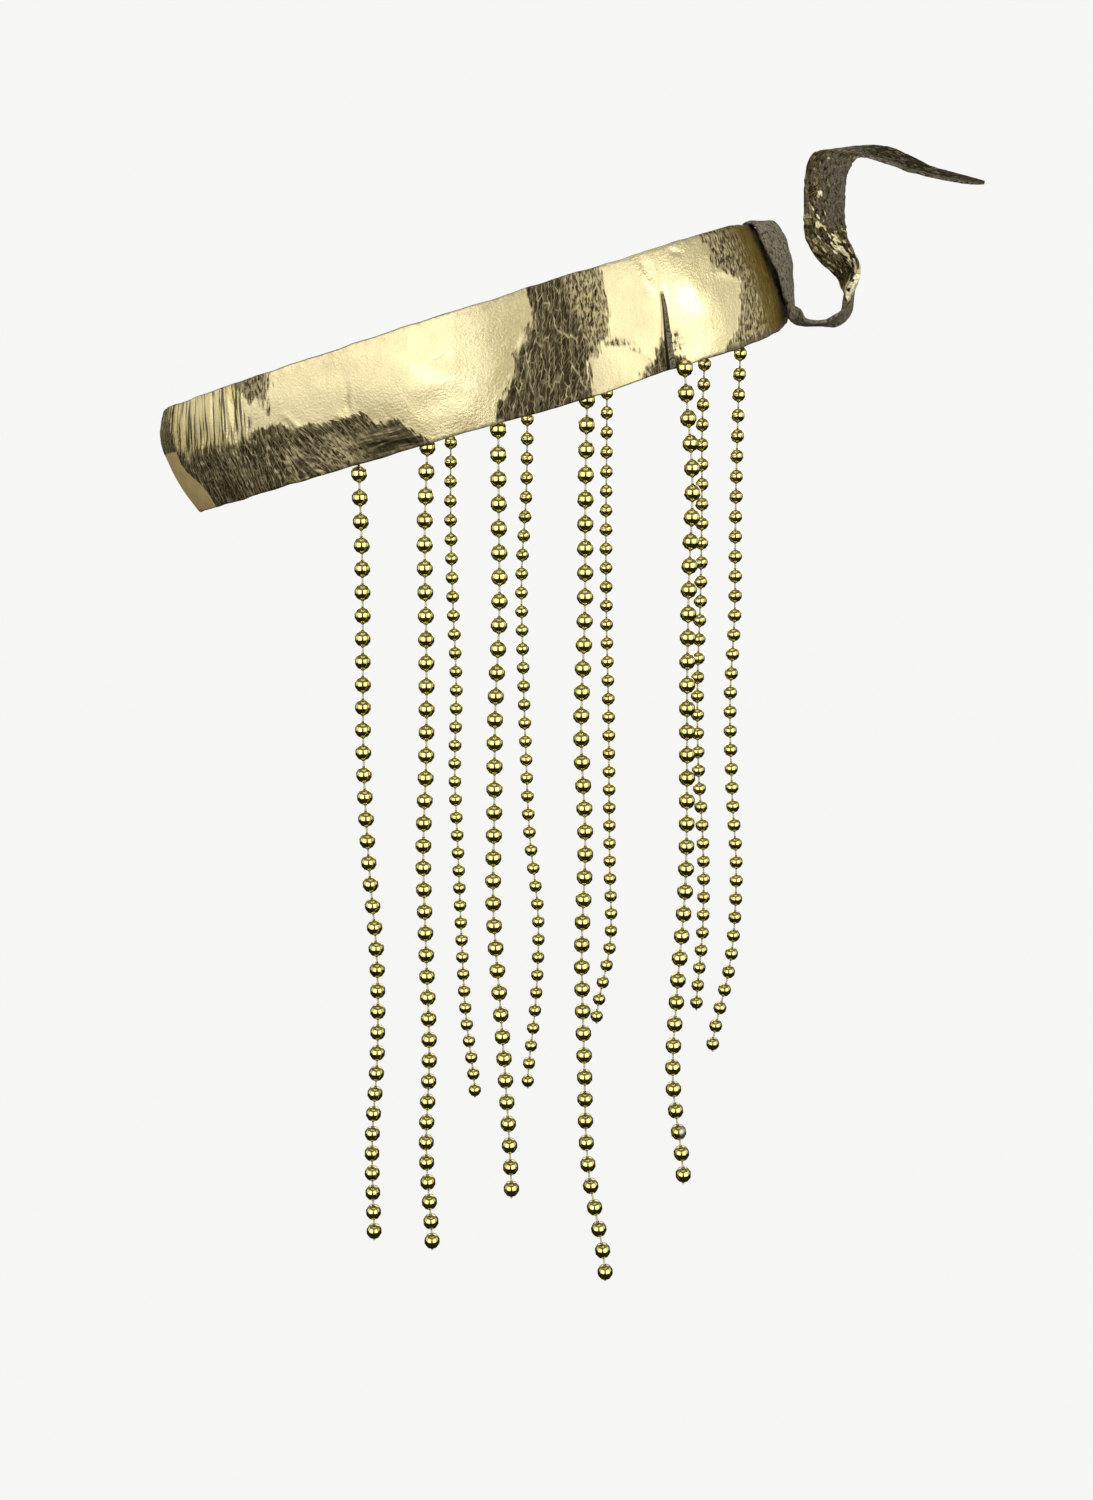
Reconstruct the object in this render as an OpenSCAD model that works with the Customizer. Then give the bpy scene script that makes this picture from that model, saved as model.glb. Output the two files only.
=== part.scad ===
// Egyptian style tiara: a ring of gold foil leather worn round the head, tied behind with a narrow
// leather strap, with ten strings of gold beads hanging from its inner face.
// The wearer looks along -X. The origin is the middle of the head opening. +Z is up.

/* [Head band] */
// Length of the ring from brow to nape, outside
ring_length = 213.5; // [200:0.5:224]
// Width of the ring from ear to ear, outside
ring_width = 153; // [144:0.5:160]
// Rise of the ring towards the back of the head, in degrees
ring_slope = 16.8; // [10:0.1:20]
// How far the ring's wall leans forward at its upper edge, in degrees
wall_rake = 20; // [12:0.5:24]
// Thickness of the foil covered leather
leather = 1.5; // [1.2:0.1:2]

/* [Dart] */
// How far the stitched dart stands out from the band at the lower edge
dart_depth = 7; // [3:0.5:9]
// Thickness of the dart, two layers of leather
dart_thick = 2.4; // [1.6:0.1:3]
// Share of the band's height that the dart reaches
dart_reach = 0.64; // [0.4:0.02:0.8]

/* [Tie strap] */
// Widest width of the strap
strap_width = 14; // [10:0.5:16]
// Thickness of the strap
strap_thick = 1.4; // [1:0.1:1.6]
// Clear gap between the strap and the band
strap_gap = 0.3; // [0.2:0.05:0.6]

/* [Bead strings] */
// Diameter of a bead
bead_d = 5; // [4:0.1:5.4]
// Distance from one bead to the next
bead_pitch = 7.6; // [7:0.1:8]
// Diameter of the thread
thread_d = 0.8; // [0.6:0.1:1]
// Diameter of the hole through a bead
bead_hole = 1.6; // [1.4:0.1:2]

/* [Hidden] */
foil_gold = "#d9c27a";
suede = "#6e6455";
bead_gold = "#b8a23c";
thread_buff = "#c9c3a0";

// The plan of the band's outer face, going from the brow past the right ear to the nape and back.
// Each row is a station, about 25 mm of the way round: x, y, then the upper and the lower edge above
// the sloping middle plane, then how far the upper and the lower edge curl inwards.
PLAN_X = 0;
PLAN_Y = 1;
EDGE_TOP = 2;
EDGE_LOW = 3;
CURL_TOP = 4;
CURL_LOW = 5;
stations = [
    [-108, 0, 18.6, -18.2, 7, 3],
    [-103, -19, 19, -18.2, 4, 2],
    [-88, -35, 18.2, -18.5, 1.4, 1],
    [-68, -48, 18.1, -18.6, 0.8, 0.6],
    [-42, -60, 17.7, -19, 0.6, 0.6],
    [-17, -71, 17.3, -19.1, 0.6, 0.6],
    [9, -76.5, 17, -19.8, 0.6, 0.6],
    [33, -77, 17.2, -20.2, 0.6, 0.6],
    [55, -71, 17.3, -19.3, 0.6, 0.6],
    [75, -59.5, 18.2, -19.4, 0.8, 1],
    [92, -43.5, 18.6, -18, 1, 2],
    [102, -23, 16.8, -15.8, 2.5, 4],
    [105.5, 0, 14.6, -14, 4, 5.5],
    [104.5, 24, 17, -15, 3, 4],
    [98.5, 46, 19, -17, 1, 1.6],
    [84.5, 62, 19.5, -17, 0.8, 0.6],
    [65, 72, 20, -17, 0.6, 0.6],
    [39, 77, 20, -17, 0.6, 0.6],
    [10, 78, 20, -17, 0.6, 0.6],
    [-20, 75, 20, -17, 0.6, 0.6],
    [-49, 65.5, 20, -17, 0.6, 0.6],
    [-74, 49.5, 19.6, -17.4, 1, 0.8],
    [-95, 27, 19.2, -18, 3.5, 1.6]
];
station_count = len(stations);
plan_scale_x = ring_length / 213.5;
plan_scale_y = ring_width / 153;

// Soft dents and swells of the leather. Each row: station, height on the band from 0 to 1, reach in
// stations, reach in height, and how far the leather stands out there.
dents = [
    [3.1, 0.3, 0.7, 0.35, -0.9],
    [4.3, 0.6, 0.5, 0.8, 0.8],
    [5.4, 0.35, 0.8, 0.4, 0.9],
    [6.6, 0.5, 0.5, 0.9, -1],
    [7.5, 0.3, 0.6, 0.5, -0.6],
    [8, 0.75, 0.35, 0.6, 0.7],
    [9.3, 0.5, 0.6, 0.4, 1],
    [10.6, 0.4, 0.5, 0.7, -0.8],
    [14.5, 0.5, 0.6, 0.6, 0.8],
    [16.2, 0.4, 0.8, 0.5, -0.8],
    [18, 0.6, 0.7, 0.5, 0.9],
    [19.8, 0.4, 0.6, 0.6, -0.9],
    [21.4, 0.6, 0.6, 0.5, 0.7]
];

// The dart stands at this station at the lower edge, and leans by this much of a station per height
dart_station = 7.86;
dart_lean = 0.55;
// Length of one station along the band near the dart
dart_station_length = 22;

// The strap inside the band and over its upper edge. Each row: station, height on the band, distance
// of the strap's middle from the middle of the wall, positive outside, then width and thickness as
// shares.
mid_gap = leather / 2 + strap_gap + strap_thick / 2;
inside_rows = [
    [10.75, 0.08, -mid_gap - 0.8, 0.6, 1],
    [10.75, 0.3, -mid_gap - 0.8, 0.75, 1],
    [10.72, 0.6, -mid_gap - 0.8, 0.85, 1],
    [10.7, 0.88, -mid_gap - 0.9, 0.95, 1],
    [10.7, 0.96, -mid_gap - 0.9, 0.9, 1],
    [10.7, 1.06, -mid_gap * 0.8, 0.9, 1]
];

// The strap from there to its free tip. Each row: x, y and z from the middle of the wall's outer face
// at the strap's station, width, thickness as a share, then where the strap's suede side looks.
strap_station = 11;
strap_rows = [
    [-10.8, -5.5, 15.9, 13, 1, 0.15, -0.05, 1],
    [-8.4, -6.4, 14.2, 15, 1, 0.75, -0.32, 0.6],
    [-6.1, -7.3, 9.7, 15, 1, 0.88, -0.38, 0.3],
    [-3.8, -7.7, 5.7, 15, 1, 0.88, -0.42, 0.2],
    [-1.1, -7.4, 1.7, 14.5, 1, 0.9, -0.42, 0.15],
    [0.5, -6.5, -2.3, 14, 1, 0.9, -0.4, 0.1],
    [1.6, -5.1, -6.4, 12, 1, 0.92, -0.38, 0],
    [2.2, -4.4, -9.2, 9, 1.2, 0.92, -0.38, 0],
    [2.9, -4.5, -11.9, 6, 1.6, 0.8, -0.4, -0.4],
    [5.4, -4.1, -15.2, 5, 1.6, 0.2, -0.25, -0.95],
    [8, -3.1, -16.1, 5.5, 1.2, 0, -0.15, -1],
    [12.3, -1.6, -16.1, 7, 1, 0, -0.15, -1],
    [15.9, 0.4, -15.3, 8, 1, 0.35, -0.2, -0.9],
    [20, 2.4, -14.1, 9, 1, 0.8, -0.35, -0.6],
    [22.7, 4.4, -10.6, 10, 1, 1, -0.3, -0.2],
    [23.6, 5.9, -5.7, 10, 1, 1, 0, 0],
    [23.3, 6.9, -1.9, 10, 1, 0.8, 0.5, 0],
    [22.6, 7.9, 0.8, 12, 1, 0.5, 0.8, 0.1],
    [20.2, 9.4, 4.4, 12.6, 1, 0.2, 1, 0.2],
    [17.4, 10.9, 9.3, 13.4, 1, 0, 1, 0],
    [15.8, 11.9, 14.3, 14, 1, 0, 1, 0],
    [15.4, 12.4, 18.2, 13.8, 1, 0, 1, 0],
    [15.2, 12.9, 22.8, 13.8, 1, 0, 1, 0],
    [15.2, 13.4, 28, 14, 1, 0, 1, 0],
    [15.6, 13.9, 32.7, 14, 1, 0, 1, -0.1],
    [16.9, 15.4, 36.5, 14, 1, 0, 0.8, -0.5],
    [20.1, 17.9, 39.3, 13.5, 1, 0, 0.5, -0.85],
    [24.5, 19.9, 40.9, 11.8, 1, 0, 0.35, -0.9],
    [29.4, 20.9, 41.4, 10.3, 1, 0, 0.45, -0.85],
    [34.9, 21.4, 40.8, 10.3, 1, 0, 0.55, -0.76],
    [40.2, 21.9, 39.6, 10.3, 1, 0, 0.6, -0.7],
    [44.6, 22.9, 38, 9.4, 1, 0, 0.6, -0.7],
    [48.6, 22.9, 36.6, 7.4, 1, 0, 0.6, -0.7],
    [52.6, 22.9, 35.2, 5.9, 1, 0, 0.6, -0.7],
    [57.7, 22.9, 34, 5.1, 1, 0, 0.6, -0.7],
    [63.5, 22.9, 32.8, 4.1, 1, 0, 0.6, -0.7],
    [68, 22.9, 32, 2.7, 0.9, 0, 0.6, -0.7],
    [71.2, 22.9, 31.6, 1.2, 0.7, 0, 0.6, -0.7]
];

// The bead strings. Each row: x and y of the top bead, its height above the sloping middle plane,
// number of beads, how much longer than plumb the string hangs at its end, how far the top bead
// stands out sideways over the band's edge, then its sideways place at each eighth of its length.
TOP_X = 0;
TOP_Y = 1;
TOP_RISE = 2;
BEADS = 3;
STRETCH = 4;
REACH = 5;
SWAY = 6;
strings = [
    [-37, -54.9, -14.6, 37, -2.8, 0, 0, 0.5, 0, -0.5, 0.5, 2.5, 2, -0.5, -0.5],
    [-13.9, -64.9, -12.9, 38, -3.3, 0, 0, -1.5, -1.5, -2, -3.5, -3, -2.5, -4, -2.5],
    [8.3, -71.5, -14.1, 35, 2.3, 0, 0, 0, 0, -1.5, -2, -2.5, -0.5, 1.5, 3],
    [35.8, -71.8, -13.4, 40, 3.9, 0, 0, -0.5, -0.5, -1.5, 0, -1, 0, 1.5, 7.5],
    [65.7, -69.5, -20.5, 36, 1.4, -2, 0, 3, 2.5, 2.5, 3, 3, 1, 0, 4],
    [-14.3, 69.7, -13.7, 38, -2.5, 0, 0, -0.5, 0, 1, 0, 1, 2, 3.5, 7],
    [15.7, 73.3, -13.9, 38, 3.7, 0, 0, -0.5, -2.5, -2, -1, 0.5, 4, 3, -0.5],
    [46.9, 71.6, -13.2, 36, -0.8, 0, 0, 0, 0, 0.5, 1.5, 2, 2.5, 3, -2.5],
    [83.9, 60.4, -13.7, 36, -0.3, 0, 0, -0.5, 0, 0, -0.5, 0.5, 3, 3.5, 1.5],
    [96.2, 48.1, -13.9, 38, 1.3, 0, 0, -0.5, -0.5, 0, -1, 0.5, 3, 1.5, -5]
];
// Length of thread that shows past the end beads, as a share of the pitch
thread_end = 0.42;

// Fineness of the meshes
slices_per_station = 5;
wall_rows = 6;
strap_steps = 2;
strap_cells = 4;
tube_rings = 20;
tube_sides = 10;
thread_sides = 6;

function unit(a) = a / norm(a);

// Catmull-Rom curve through b and c, for numbers and for points
function cubic(a, b, c, d, t) =
    b + t / 2 * (c - a + t * (2 * a - 5 * b + 4 * c - d + t * (3 * b - 3 * c + d - a)));

// One column of the stations, read smoothly at any place round the ring
function ring_row(i) = stations[((i % station_count) + station_count) % station_count];
function around(column, u) =
    let (i = floor(u))
    cubic(ring_row(i - 1)[column], ring_row(i)[column], ring_row(i + 1)[column],
        ring_row(i + 2)[column], u - i);

// One row of an open table, read smoothly at a place from 0 to 1
function along(rows, f) =
    let (
        last = len(rows) - 1,
        i = min(floor(f * last), last - 1)
    )
    cubic(rows[max(i - 1, 0)], rows[i], rows[i + 1], rows[min(i + 2, last)], f * last - i);

function plan_at(u) = [around(PLAN_X, u) * plan_scale_x, around(PLAN_Y, u) * plan_scale_y];
function plan_way(u) = unit(plan_at(u + 0.02) - plan_at(u - 0.02));
function outward(u) = let (way = plan_way(u)) [way[1], -way[0]];

function bell(a) = exp(-a * a);
function swell(u, v) = [for (d = dents) d[4] * bell((u - d[0]) / d[2]) * bell((v - d[1]) / d[3])]
    * [for (d = dents) 1];
function curl(u, v) =
    around(CURL_TOP, u) * pow(max(0, 2 * v - 1), 3) + around(CURL_LOW, u) * pow(max(0, 1 - 2 * v), 2);

// A point of the band's wall: place round the ring, height from 0 at the lower edge to 1 at the
// upper edge, and distance outwards from the outer face
function wall_point(u, v, out) =
    let (
        height = around(EDGE_LOW, u) + (around(EDGE_TOP, u) - around(EDGE_LOW, u)) * v,
        flat = plan_at(u) + outward(u) * (out + swell(u, v) - curl(u, v)),
        x = flat[0] - tan(wall_rake) * height
    )
    [x, flat[1], height + tan(ring_slope) * x];

// Triangles over a number of spans, each between one loop of points and the next of count loops
function span_faces(spans, count, sides) = [
    for (i = [0 : spans - 1], j = [0 : sides - 1])
        let (
            a = i * sides + j,
            b = i * sides + (j + 1) % sides,
            c = ((i + 1) % count) * sides + (j + 1) % sides,
            d = ((i + 1) % count) * sides + j
        )
        each [[a, c, b], [a, d, c]]
];

// Triangles of a flat end, whose loop starts at point first and has an even number of sides
function end_faces(first, sides) = [
    for (j = [0 : sides / 2 - 2])
        let (
            a = first + j,
            b = first + j + 1,
            c = first + sides - 2 - j,
            d = first + sides - 1 - j
        )
        each [[a, b, c], [a, c, d]]
];
function turned(faces) = [for (f = faces) [f[2], f[1], f[0]]];

// A closed ring has a last span back to its first loop, and a tube has two flat ends
function ring_faces(count, sides) = span_faces(count, count, sides);
function tube_faces(count, sides) = concat(
    span_faces(count - 1, count, sides),
    end_faces(0, sides),
    turned(end_faces((count - 1) * sides, sides))
);

// The slices of the band's wall. Each is its place, then how far towards the dart's edge it lies:
// the four slices beside the dart's line carry the dart, the inner two of them its raised edge.
dart_half = dart_thick / 2 / dart_station_length;
dart_foot = dart_half * 1.25;
slices = concat(
    [for (k = [0 : station_count * slices_per_station - 1])
        let (u = k / slices_per_station)
        if (abs(u - dart_station) > dart_foot * 1.5) [u, 0]],
    [[dart_station - dart_foot, 0], [dart_station - dart_half, 1],
        [dart_station + dart_half, 1], [dart_station + dart_foot, 0]]
);
function sorted(list) = len(list) < 2 ? list
    : let (pivot = list[floor(len(list) / 2)][0])
    concat(
        sorted([for (s = list) if (s[0] < pivot) s]),
        [for (s = list) if (s[0] == pivot) s],
        sorted([for (s = list) if (s[0] > pivot) s])
    );

// The slices near the dart lean with it, and its own slices draw together towards its upper end
function tapered(u, v) =
    abs(u - dart_station) > dart_foot * 1.2 ? u
    : dart_station + (u - dart_station) * (1 - 0.6 * min(v / dart_reach, 1));
function leaned(u, v) = tapered(u, v) + dart_lean * v * bell((u - dart_station) / 1.2);
function dart_out(v) = dart_depth * max(0, 1 - v / dart_reach);

function slice_loop(slice) = concat(
    [for (j = [0 : wall_rows])
        let (v = j / wall_rows)
        wall_point(leaned(slice[0], v), v, -leather)],
    [for (j = [wall_rows : -1 : 0])
        let (v = j / wall_rows)
        wall_point(leaned(slice[0], v), v, slice[1] * dart_out(v))]
);

module band() {
    color(foil_gold)
        polyhedron(
            points = [for (s = sorted(slices)) each slice_loop(s)],
            faces = ring_faces(len(slices), 2 * wall_rows + 2),
            convexity = 8
        );
}

// A strap row with its true place and width, for a row beside the wall and for a row away from it
function inside_row(r) =
    let (
        p = wall_point(r[0], r[1], r[2] - leather / 2),
        middle = wall_point(r[0], min(r[1], 0.97), -leather / 2)
    )
    concat(p, [strap_width * r[3], r[4]], unit(p - middle));
strap_home = wall_point(strap_station, 0.5, 0);
function free_row(r) =
    concat(strap_home + place(r), [r[3] * strap_width / 14, r[4], r[5], r[6], r[7]]);

placed_rows = concat([for (r = inside_rows) inside_row(r)], [for (r = strap_rows) free_row(r)]);
strap_count = (len(placed_rows) - 1) * strap_steps + 1;

function strap_at(f) = along(placed_rows, f);
function place(row) = [row[0], row[1], row[2]];
function strap_loop(k) =
    let (
        f = k / (strap_count - 1),
        row = strap_at(f),
        way = unit(place(strap_at(min(f + 0.004, 1))) - place(strap_at(max(f - 0.004, 0)))),
        look = [row[5], row[6], row[7]],
        face = unit(look - way * (look * way)),
        side = cross(way, face),
        thick = strap_thick * row[4]
    )
    concat(
        [for (j = [0 : strap_cells])
            place(row) + side * row[3] * (j / strap_cells - 0.5) + face * thick / 2],
        [for (j = [strap_cells : -1 : 0])
            place(row) + side * row[3] * (j / strap_cells - 0.5) - face * thick / 2]
    );

module tie_strap() {
    color(suede)
        polyhedron(
            points = [for (k = [0 : strap_count - 1]) each strap_loop(k)],
            faces = tube_faces(strap_count, 2 * strap_cells + 2),
            convexity = 10
        );
}

// The route of string number s at bead k, where k need not be whole
function sway(s, f) = along([for (e = [0 : 8]) strings[s][SWAY + e]], f);
function route(s, k) =
    let (
        row = strings[s],
        f = min(max(k / (row[BEADS] - 1), 0), 1)
    )
    [row[TOP_X] * plan_scale_x + sway(s, f),
        row[TOP_Y] * plan_scale_y + row[REACH] * bell(k / 1.5),
        row[TOP_RISE] + tan(ring_slope) * row[TOP_X] * plan_scale_x
            - bead_pitch * k - row[STRETCH] * pow(f, 4)];
function route_way(s, k) = unit(route(s, k + 0.3) - route(s, k - 0.3));

// A loop of points round the route at bead k
function route_loop(s, k, d, sides) =
    let (
        way = route_way(s, k),
        side = unit(cross(way, [0, 1, 0])),
        front = cross(way, side)
    )
    [for (j = [0 : sides - 1])
        route(s, k) + (side * cos(360 * j / sides) + front * sin(360 * j / sides)) * d / 2];

module bead() {
    difference() {
        sphere(d = bead_d, $fn = 32);
        cylinder(d = bead_hole, h = bead_d * 1.2, center = true, $fn = 24);
    }
}

module bead_string(s) {
    color(bead_gold)
        for (k = [0 : strings[s][BEADS] - 1]) {
            way = route_way(s, k);
            translate(route(s, k))
                rotate([0, acos(way[2]), atan2(way[1], way[0])])
                    bead();
        }
}

module thread(s) {
    last = strings[s][BEADS] - 1;
    knots = concat([-thread_end], [for (k = [0 : last]) k], [last + thread_end]);
    color(thread_buff)
        polyhedron(
            points = [for (k = knots) each route_loop(s, k, thread_d, thread_sides)],
            faces = tube_faces(len(knots), thread_sides),
            convexity = 4
        );
}

// A string whose single beads are too fine for the solids: a tube of the beads' diameter
module string_tube(s) {
    last = strings[s][BEADS] - 1;
    color(bead_gold)
        polyhedron(
            points = [for (k = [0 : tube_rings - 1])
                each route_loop(s, -0.33 + (last + 0.66) * k / (tube_rings - 1), bead_d, tube_sides)],
            faces = tube_faces(tube_rings, tube_sides),
            convexity = 4
        );
}

band();
tie_strap();
bead_string(0);  // beads_near_1
bead_string(1);  // beads_near_2
bead_string(2);  // beads_near_3
bead_string(3);  // beads_near_4
bead_string(4);  // beads_near_5
string_tube(5);  // beads_far_1
string_tube(6);  // beads_far_2
string_tube(7);  // beads_far_3
bead_string(8);  // beads_far_4
string_tube(9);  // beads_far_5
thread(0);  // thread_near_1
thread(1);  // thread_near_2
thread(2);  // thread_near_3
thread(3);  // thread_near_4
thread(4);  // thread_near_5
thread(8);  // thread_far_4
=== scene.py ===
"""An Egyptian style tiara: a ring of crinkled gold foil leather tied behind with a narrow strap, with ten
strings of gold beads hanging from its inner face. The wearer looks along -X and +Z is up."""
import math
import bpy
import numpy as np
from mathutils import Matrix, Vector


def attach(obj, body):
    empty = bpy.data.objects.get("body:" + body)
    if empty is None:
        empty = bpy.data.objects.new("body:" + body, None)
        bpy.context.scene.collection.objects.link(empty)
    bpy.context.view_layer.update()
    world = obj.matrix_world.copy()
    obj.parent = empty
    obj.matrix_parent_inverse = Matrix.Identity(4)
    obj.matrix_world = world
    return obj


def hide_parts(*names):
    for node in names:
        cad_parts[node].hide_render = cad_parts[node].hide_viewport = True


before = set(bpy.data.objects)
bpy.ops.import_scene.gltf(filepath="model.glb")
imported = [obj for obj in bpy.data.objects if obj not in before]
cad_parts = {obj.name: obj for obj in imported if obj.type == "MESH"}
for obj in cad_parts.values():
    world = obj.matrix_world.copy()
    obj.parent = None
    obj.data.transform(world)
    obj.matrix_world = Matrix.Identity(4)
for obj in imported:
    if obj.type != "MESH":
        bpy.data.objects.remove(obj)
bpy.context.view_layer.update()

# The studio. The camera looks along +Y, a little down, from beside the wearer's right ear. The floor is
# plain and pale, a large soft box stands on either side of the camera, and weaker ones light the top and
# the back.
CAMERA_PLACE = (0.0232, -0.596, -0.0133)
CAMERA_PITCH = math.radians(11.533)
CAMERA_LENS = 40
FLOOR_HEIGHT = -0.40
FLOOR_RADIUS = 6.0
PALE = (0.93, 0.928, 0.92, 1)
# Each light: its place, the point it faces, its width, height and power in watts
LIGHTS = {
    "soft_box_left": ((-0.58, -0.71, 0.03), (0, 0, -0.06), 1.0, 1.0, 5.3),
    "soft_box_right": ((0.60, -0.69, 0.05), (0.02, 0, -0.06), 1.0, 1.0, 5.3),
    "side_box_left": ((-0.9, 0.0, 0.02), (0, 0, -0.04), 0.6, 0.6, 0.8),
    "side_box_right": ((0.9, 0.03, 0.04), (0, 0, -0.04), 0.6, 0.6, 0.8),
    "lamp_left": ((-0.42, -0.86, -0.12), (0, 0, 0), 0.26, 0.09, 0.45),
    "lamp_right": ((0.80, -0.47, 0.33), (0.06, 0, 0), 0.2, 0.16, 0.8),
    "soft_box_top": ((0.0, -0.1, 1.0), (0, 0, 0), 0.8, 0.8, 1.8),
    "soft_box_back": ((0.0, 0.95, 0.25), (0, 0, -0.06), 1.2, 0.8, 6.0),
}


def add_node(tree, kind, inputs=None, **settings):
    """Adds a shader node, gives it its settings, then links each input that is given as a socket and sets
    each that is given as a value."""
    made = tree.nodes.new("ShaderNode" + kind)
    for name, value in settings.items():
        setattr(made, name, value)
    for name, value in (inputs or {}).items():
        if isinstance(value, bpy.types.NodeSocket):
            tree.links.new(value, made.inputs[name])
        else:
            made.inputs[name].default_value = value
    return made


def spread(tree, value, start, end, low=0, high=1, kind="LINEAR"):
    """The value moved from the range start to end onto the range low to high, and held at both ends."""
    return add_node(tree, "MapRange", {"Value": value, "From Min": start, "From Max": end, "To Min": low,
                                       "To Max": high}, interpolation_type=kind).outputs[0]


def noise(tree, vector, scale, detail=2):
    """A noise pattern of that scale, from 0 to 1."""
    return add_node(tree, "TexNoise", {"Vector": vector, "Scale": scale, "Detail": detail}).outputs[0]


def circle_angles(count):
    """Angles at even steps round a whole circle."""
    return np.linspace(0, 2 * math.pi, count + 1)[:-1]


camera = bpy.data.objects.new("camera", bpy.data.cameras.new("camera"))
bpy.context.scene.collection.objects.link(camera)
camera.location = CAMERA_PLACE
camera.rotation_euler = (math.radians(90) - CAMERA_PITCH, 0, 0)
camera.data.lens = CAMERA_LENS
camera.data.sensor_width = 36
bpy.context.scene.camera = camera
bpy.context.scene.view_settings.view_transform = "Standard"

for name, (place, target, width, height, power) in LIGHTS.items():
    light = bpy.data.objects.new(name, bpy.data.lights.new(name, "AREA"))
    light.data.shape = "RECTANGLE"
    light.data.size = width
    light.data.size_y = height
    light.data.energy = power
    light.visible_camera = False
    light.location = place
    light.rotation_euler = (Vector(place) - Vector(target)).to_track_quat("Z", "Y").to_euler()
    bpy.context.scene.collection.objects.link(light)

room = bpy.data.worlds.new("room")
bpy.context.scene.world = room
room.use_nodes = True
room.node_tree.nodes.clear()
tree = room.node_tree
direction = add_node(tree, "TexCoord").outputs["Generated"]
height = add_node(tree, "SeparateXYZ", {"Vector": direction}).outputs["Z"]
shades = add_node(tree, "ValToRGB", {"Fac": spread(tree, height, -1, 1)})
shades.color_ramp.elements[0].color = (0.03, 0.03, 0.028, 1)
shades.color_ramp.elements[1].color = (0.22, 0.215, 0.21, 1)
for place, value in ((0.42, 0.04), (0.54, 0.24), (0.66, 0.28), (0.8, 0.2)):
    shades.color_ramp.elements.new(place).color = (value, value, value * 0.97, 1)
behind = add_node(tree, "VectorMath", {0: direction, 1: (0, -1, 0)},
                  operation="DOT_PRODUCT").outputs["Value"]
spot = spread(tree, behind, 0.8, 0.97, 1, 0.5, kind="SMOOTHSTEP")
reflected = add_node(tree, "VectorMath", {0: shades.outputs[0], "Scale": spot}, operation="SCALE").outputs[0]
around = add_node(tree, "Background", {"Color": reflected})
seen = add_node(tree, "Background", {"Color": PALE})
rays = add_node(tree, "LightPath")
sky = add_node(tree, "MixShader", {
    0: rays.outputs["Is Camera Ray"], 1: around.outputs[0], 2: seen.outputs[0]})
add_node(tree, "OutputWorld", {"Surface": sky.outputs[0]})

FLOOR_SIDES = 96
turn = circle_angles(FLOOR_SIDES)
floor_mesh = bpy.data.meshes.new("floor")
floor_height = np.full(FLOOR_SIDES, FLOOR_HEIGHT / FLOOR_RADIUS)
floor_mesh.from_pydata(
    np.stack([np.cos(turn), np.sin(turn), floor_height], -1) * FLOOR_RADIUS, [], [tuple(range(FLOOR_SIDES))])
floor = bpy.data.objects.new("floor", floor_mesh)
bpy.context.scene.collection.objects.link(floor)
floor_paint = bpy.data.materials.new("floor_paint")
floor_paint.use_nodes = True
tree = floor_paint.node_tree
tree.nodes.clear()
place = add_node(tree, "TexCoord").outputs["Object"]
distance = add_node(tree, "VectorMath", {0: place}, operation="LENGTH").outputs["Value"]
far = spread(tree, distance, 0.5, 2.2, kind="SMOOTHSTEP")
grain = noise(tree, place, 30)
roughness = spread(tree, grain, 0, 1, 0.75, 0.95)
matt = add_node(tree, "BsdfPrincipled", {
    "Base Color": (0.006, 0.006, 0.0058, 1), "Roughness": roughness, "Specular IOR Level": 0.0,
    "Emission Color": PALE, "Emission Strength": 0.985})
sweep = add_node(tree, "Emission", {"Color": PALE})
dim = add_node(tree, "Emission", {"Color": (0.022, 0.02, 0.014, 1)})
shown = add_node(tree, "MixShader", {0: far, 1: matt.outputs[0], 2: sweep.outputs[0]})
rays = add_node(tree, "LightPath")
either = add_node(tree, "MixShader", {
    0: rays.outputs["Is Camera Ray"], 1: dim.outputs[0], 2: shown.outputs[0]})
add_node(tree, "OutputMaterial", {"Surface": either.outputs[0]})
floor_mesh.materials.append(floor_paint)

# The band. It is a strip of thin leather faced with gold foil and bent into a ring, foil outside and bare
# suede inside. The foil has crazed into crackled patches, painted near-black there as a painted dark
# reflection, and worn off in places, and a stitched dart by the wearer's right ear draws the lower edge in.
MM = 0.001
RING_SLOPE = math.tan(math.radians(16.8))
WALL_RAKE = math.tan(math.radians(20))
LEATHER = 1.5
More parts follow.
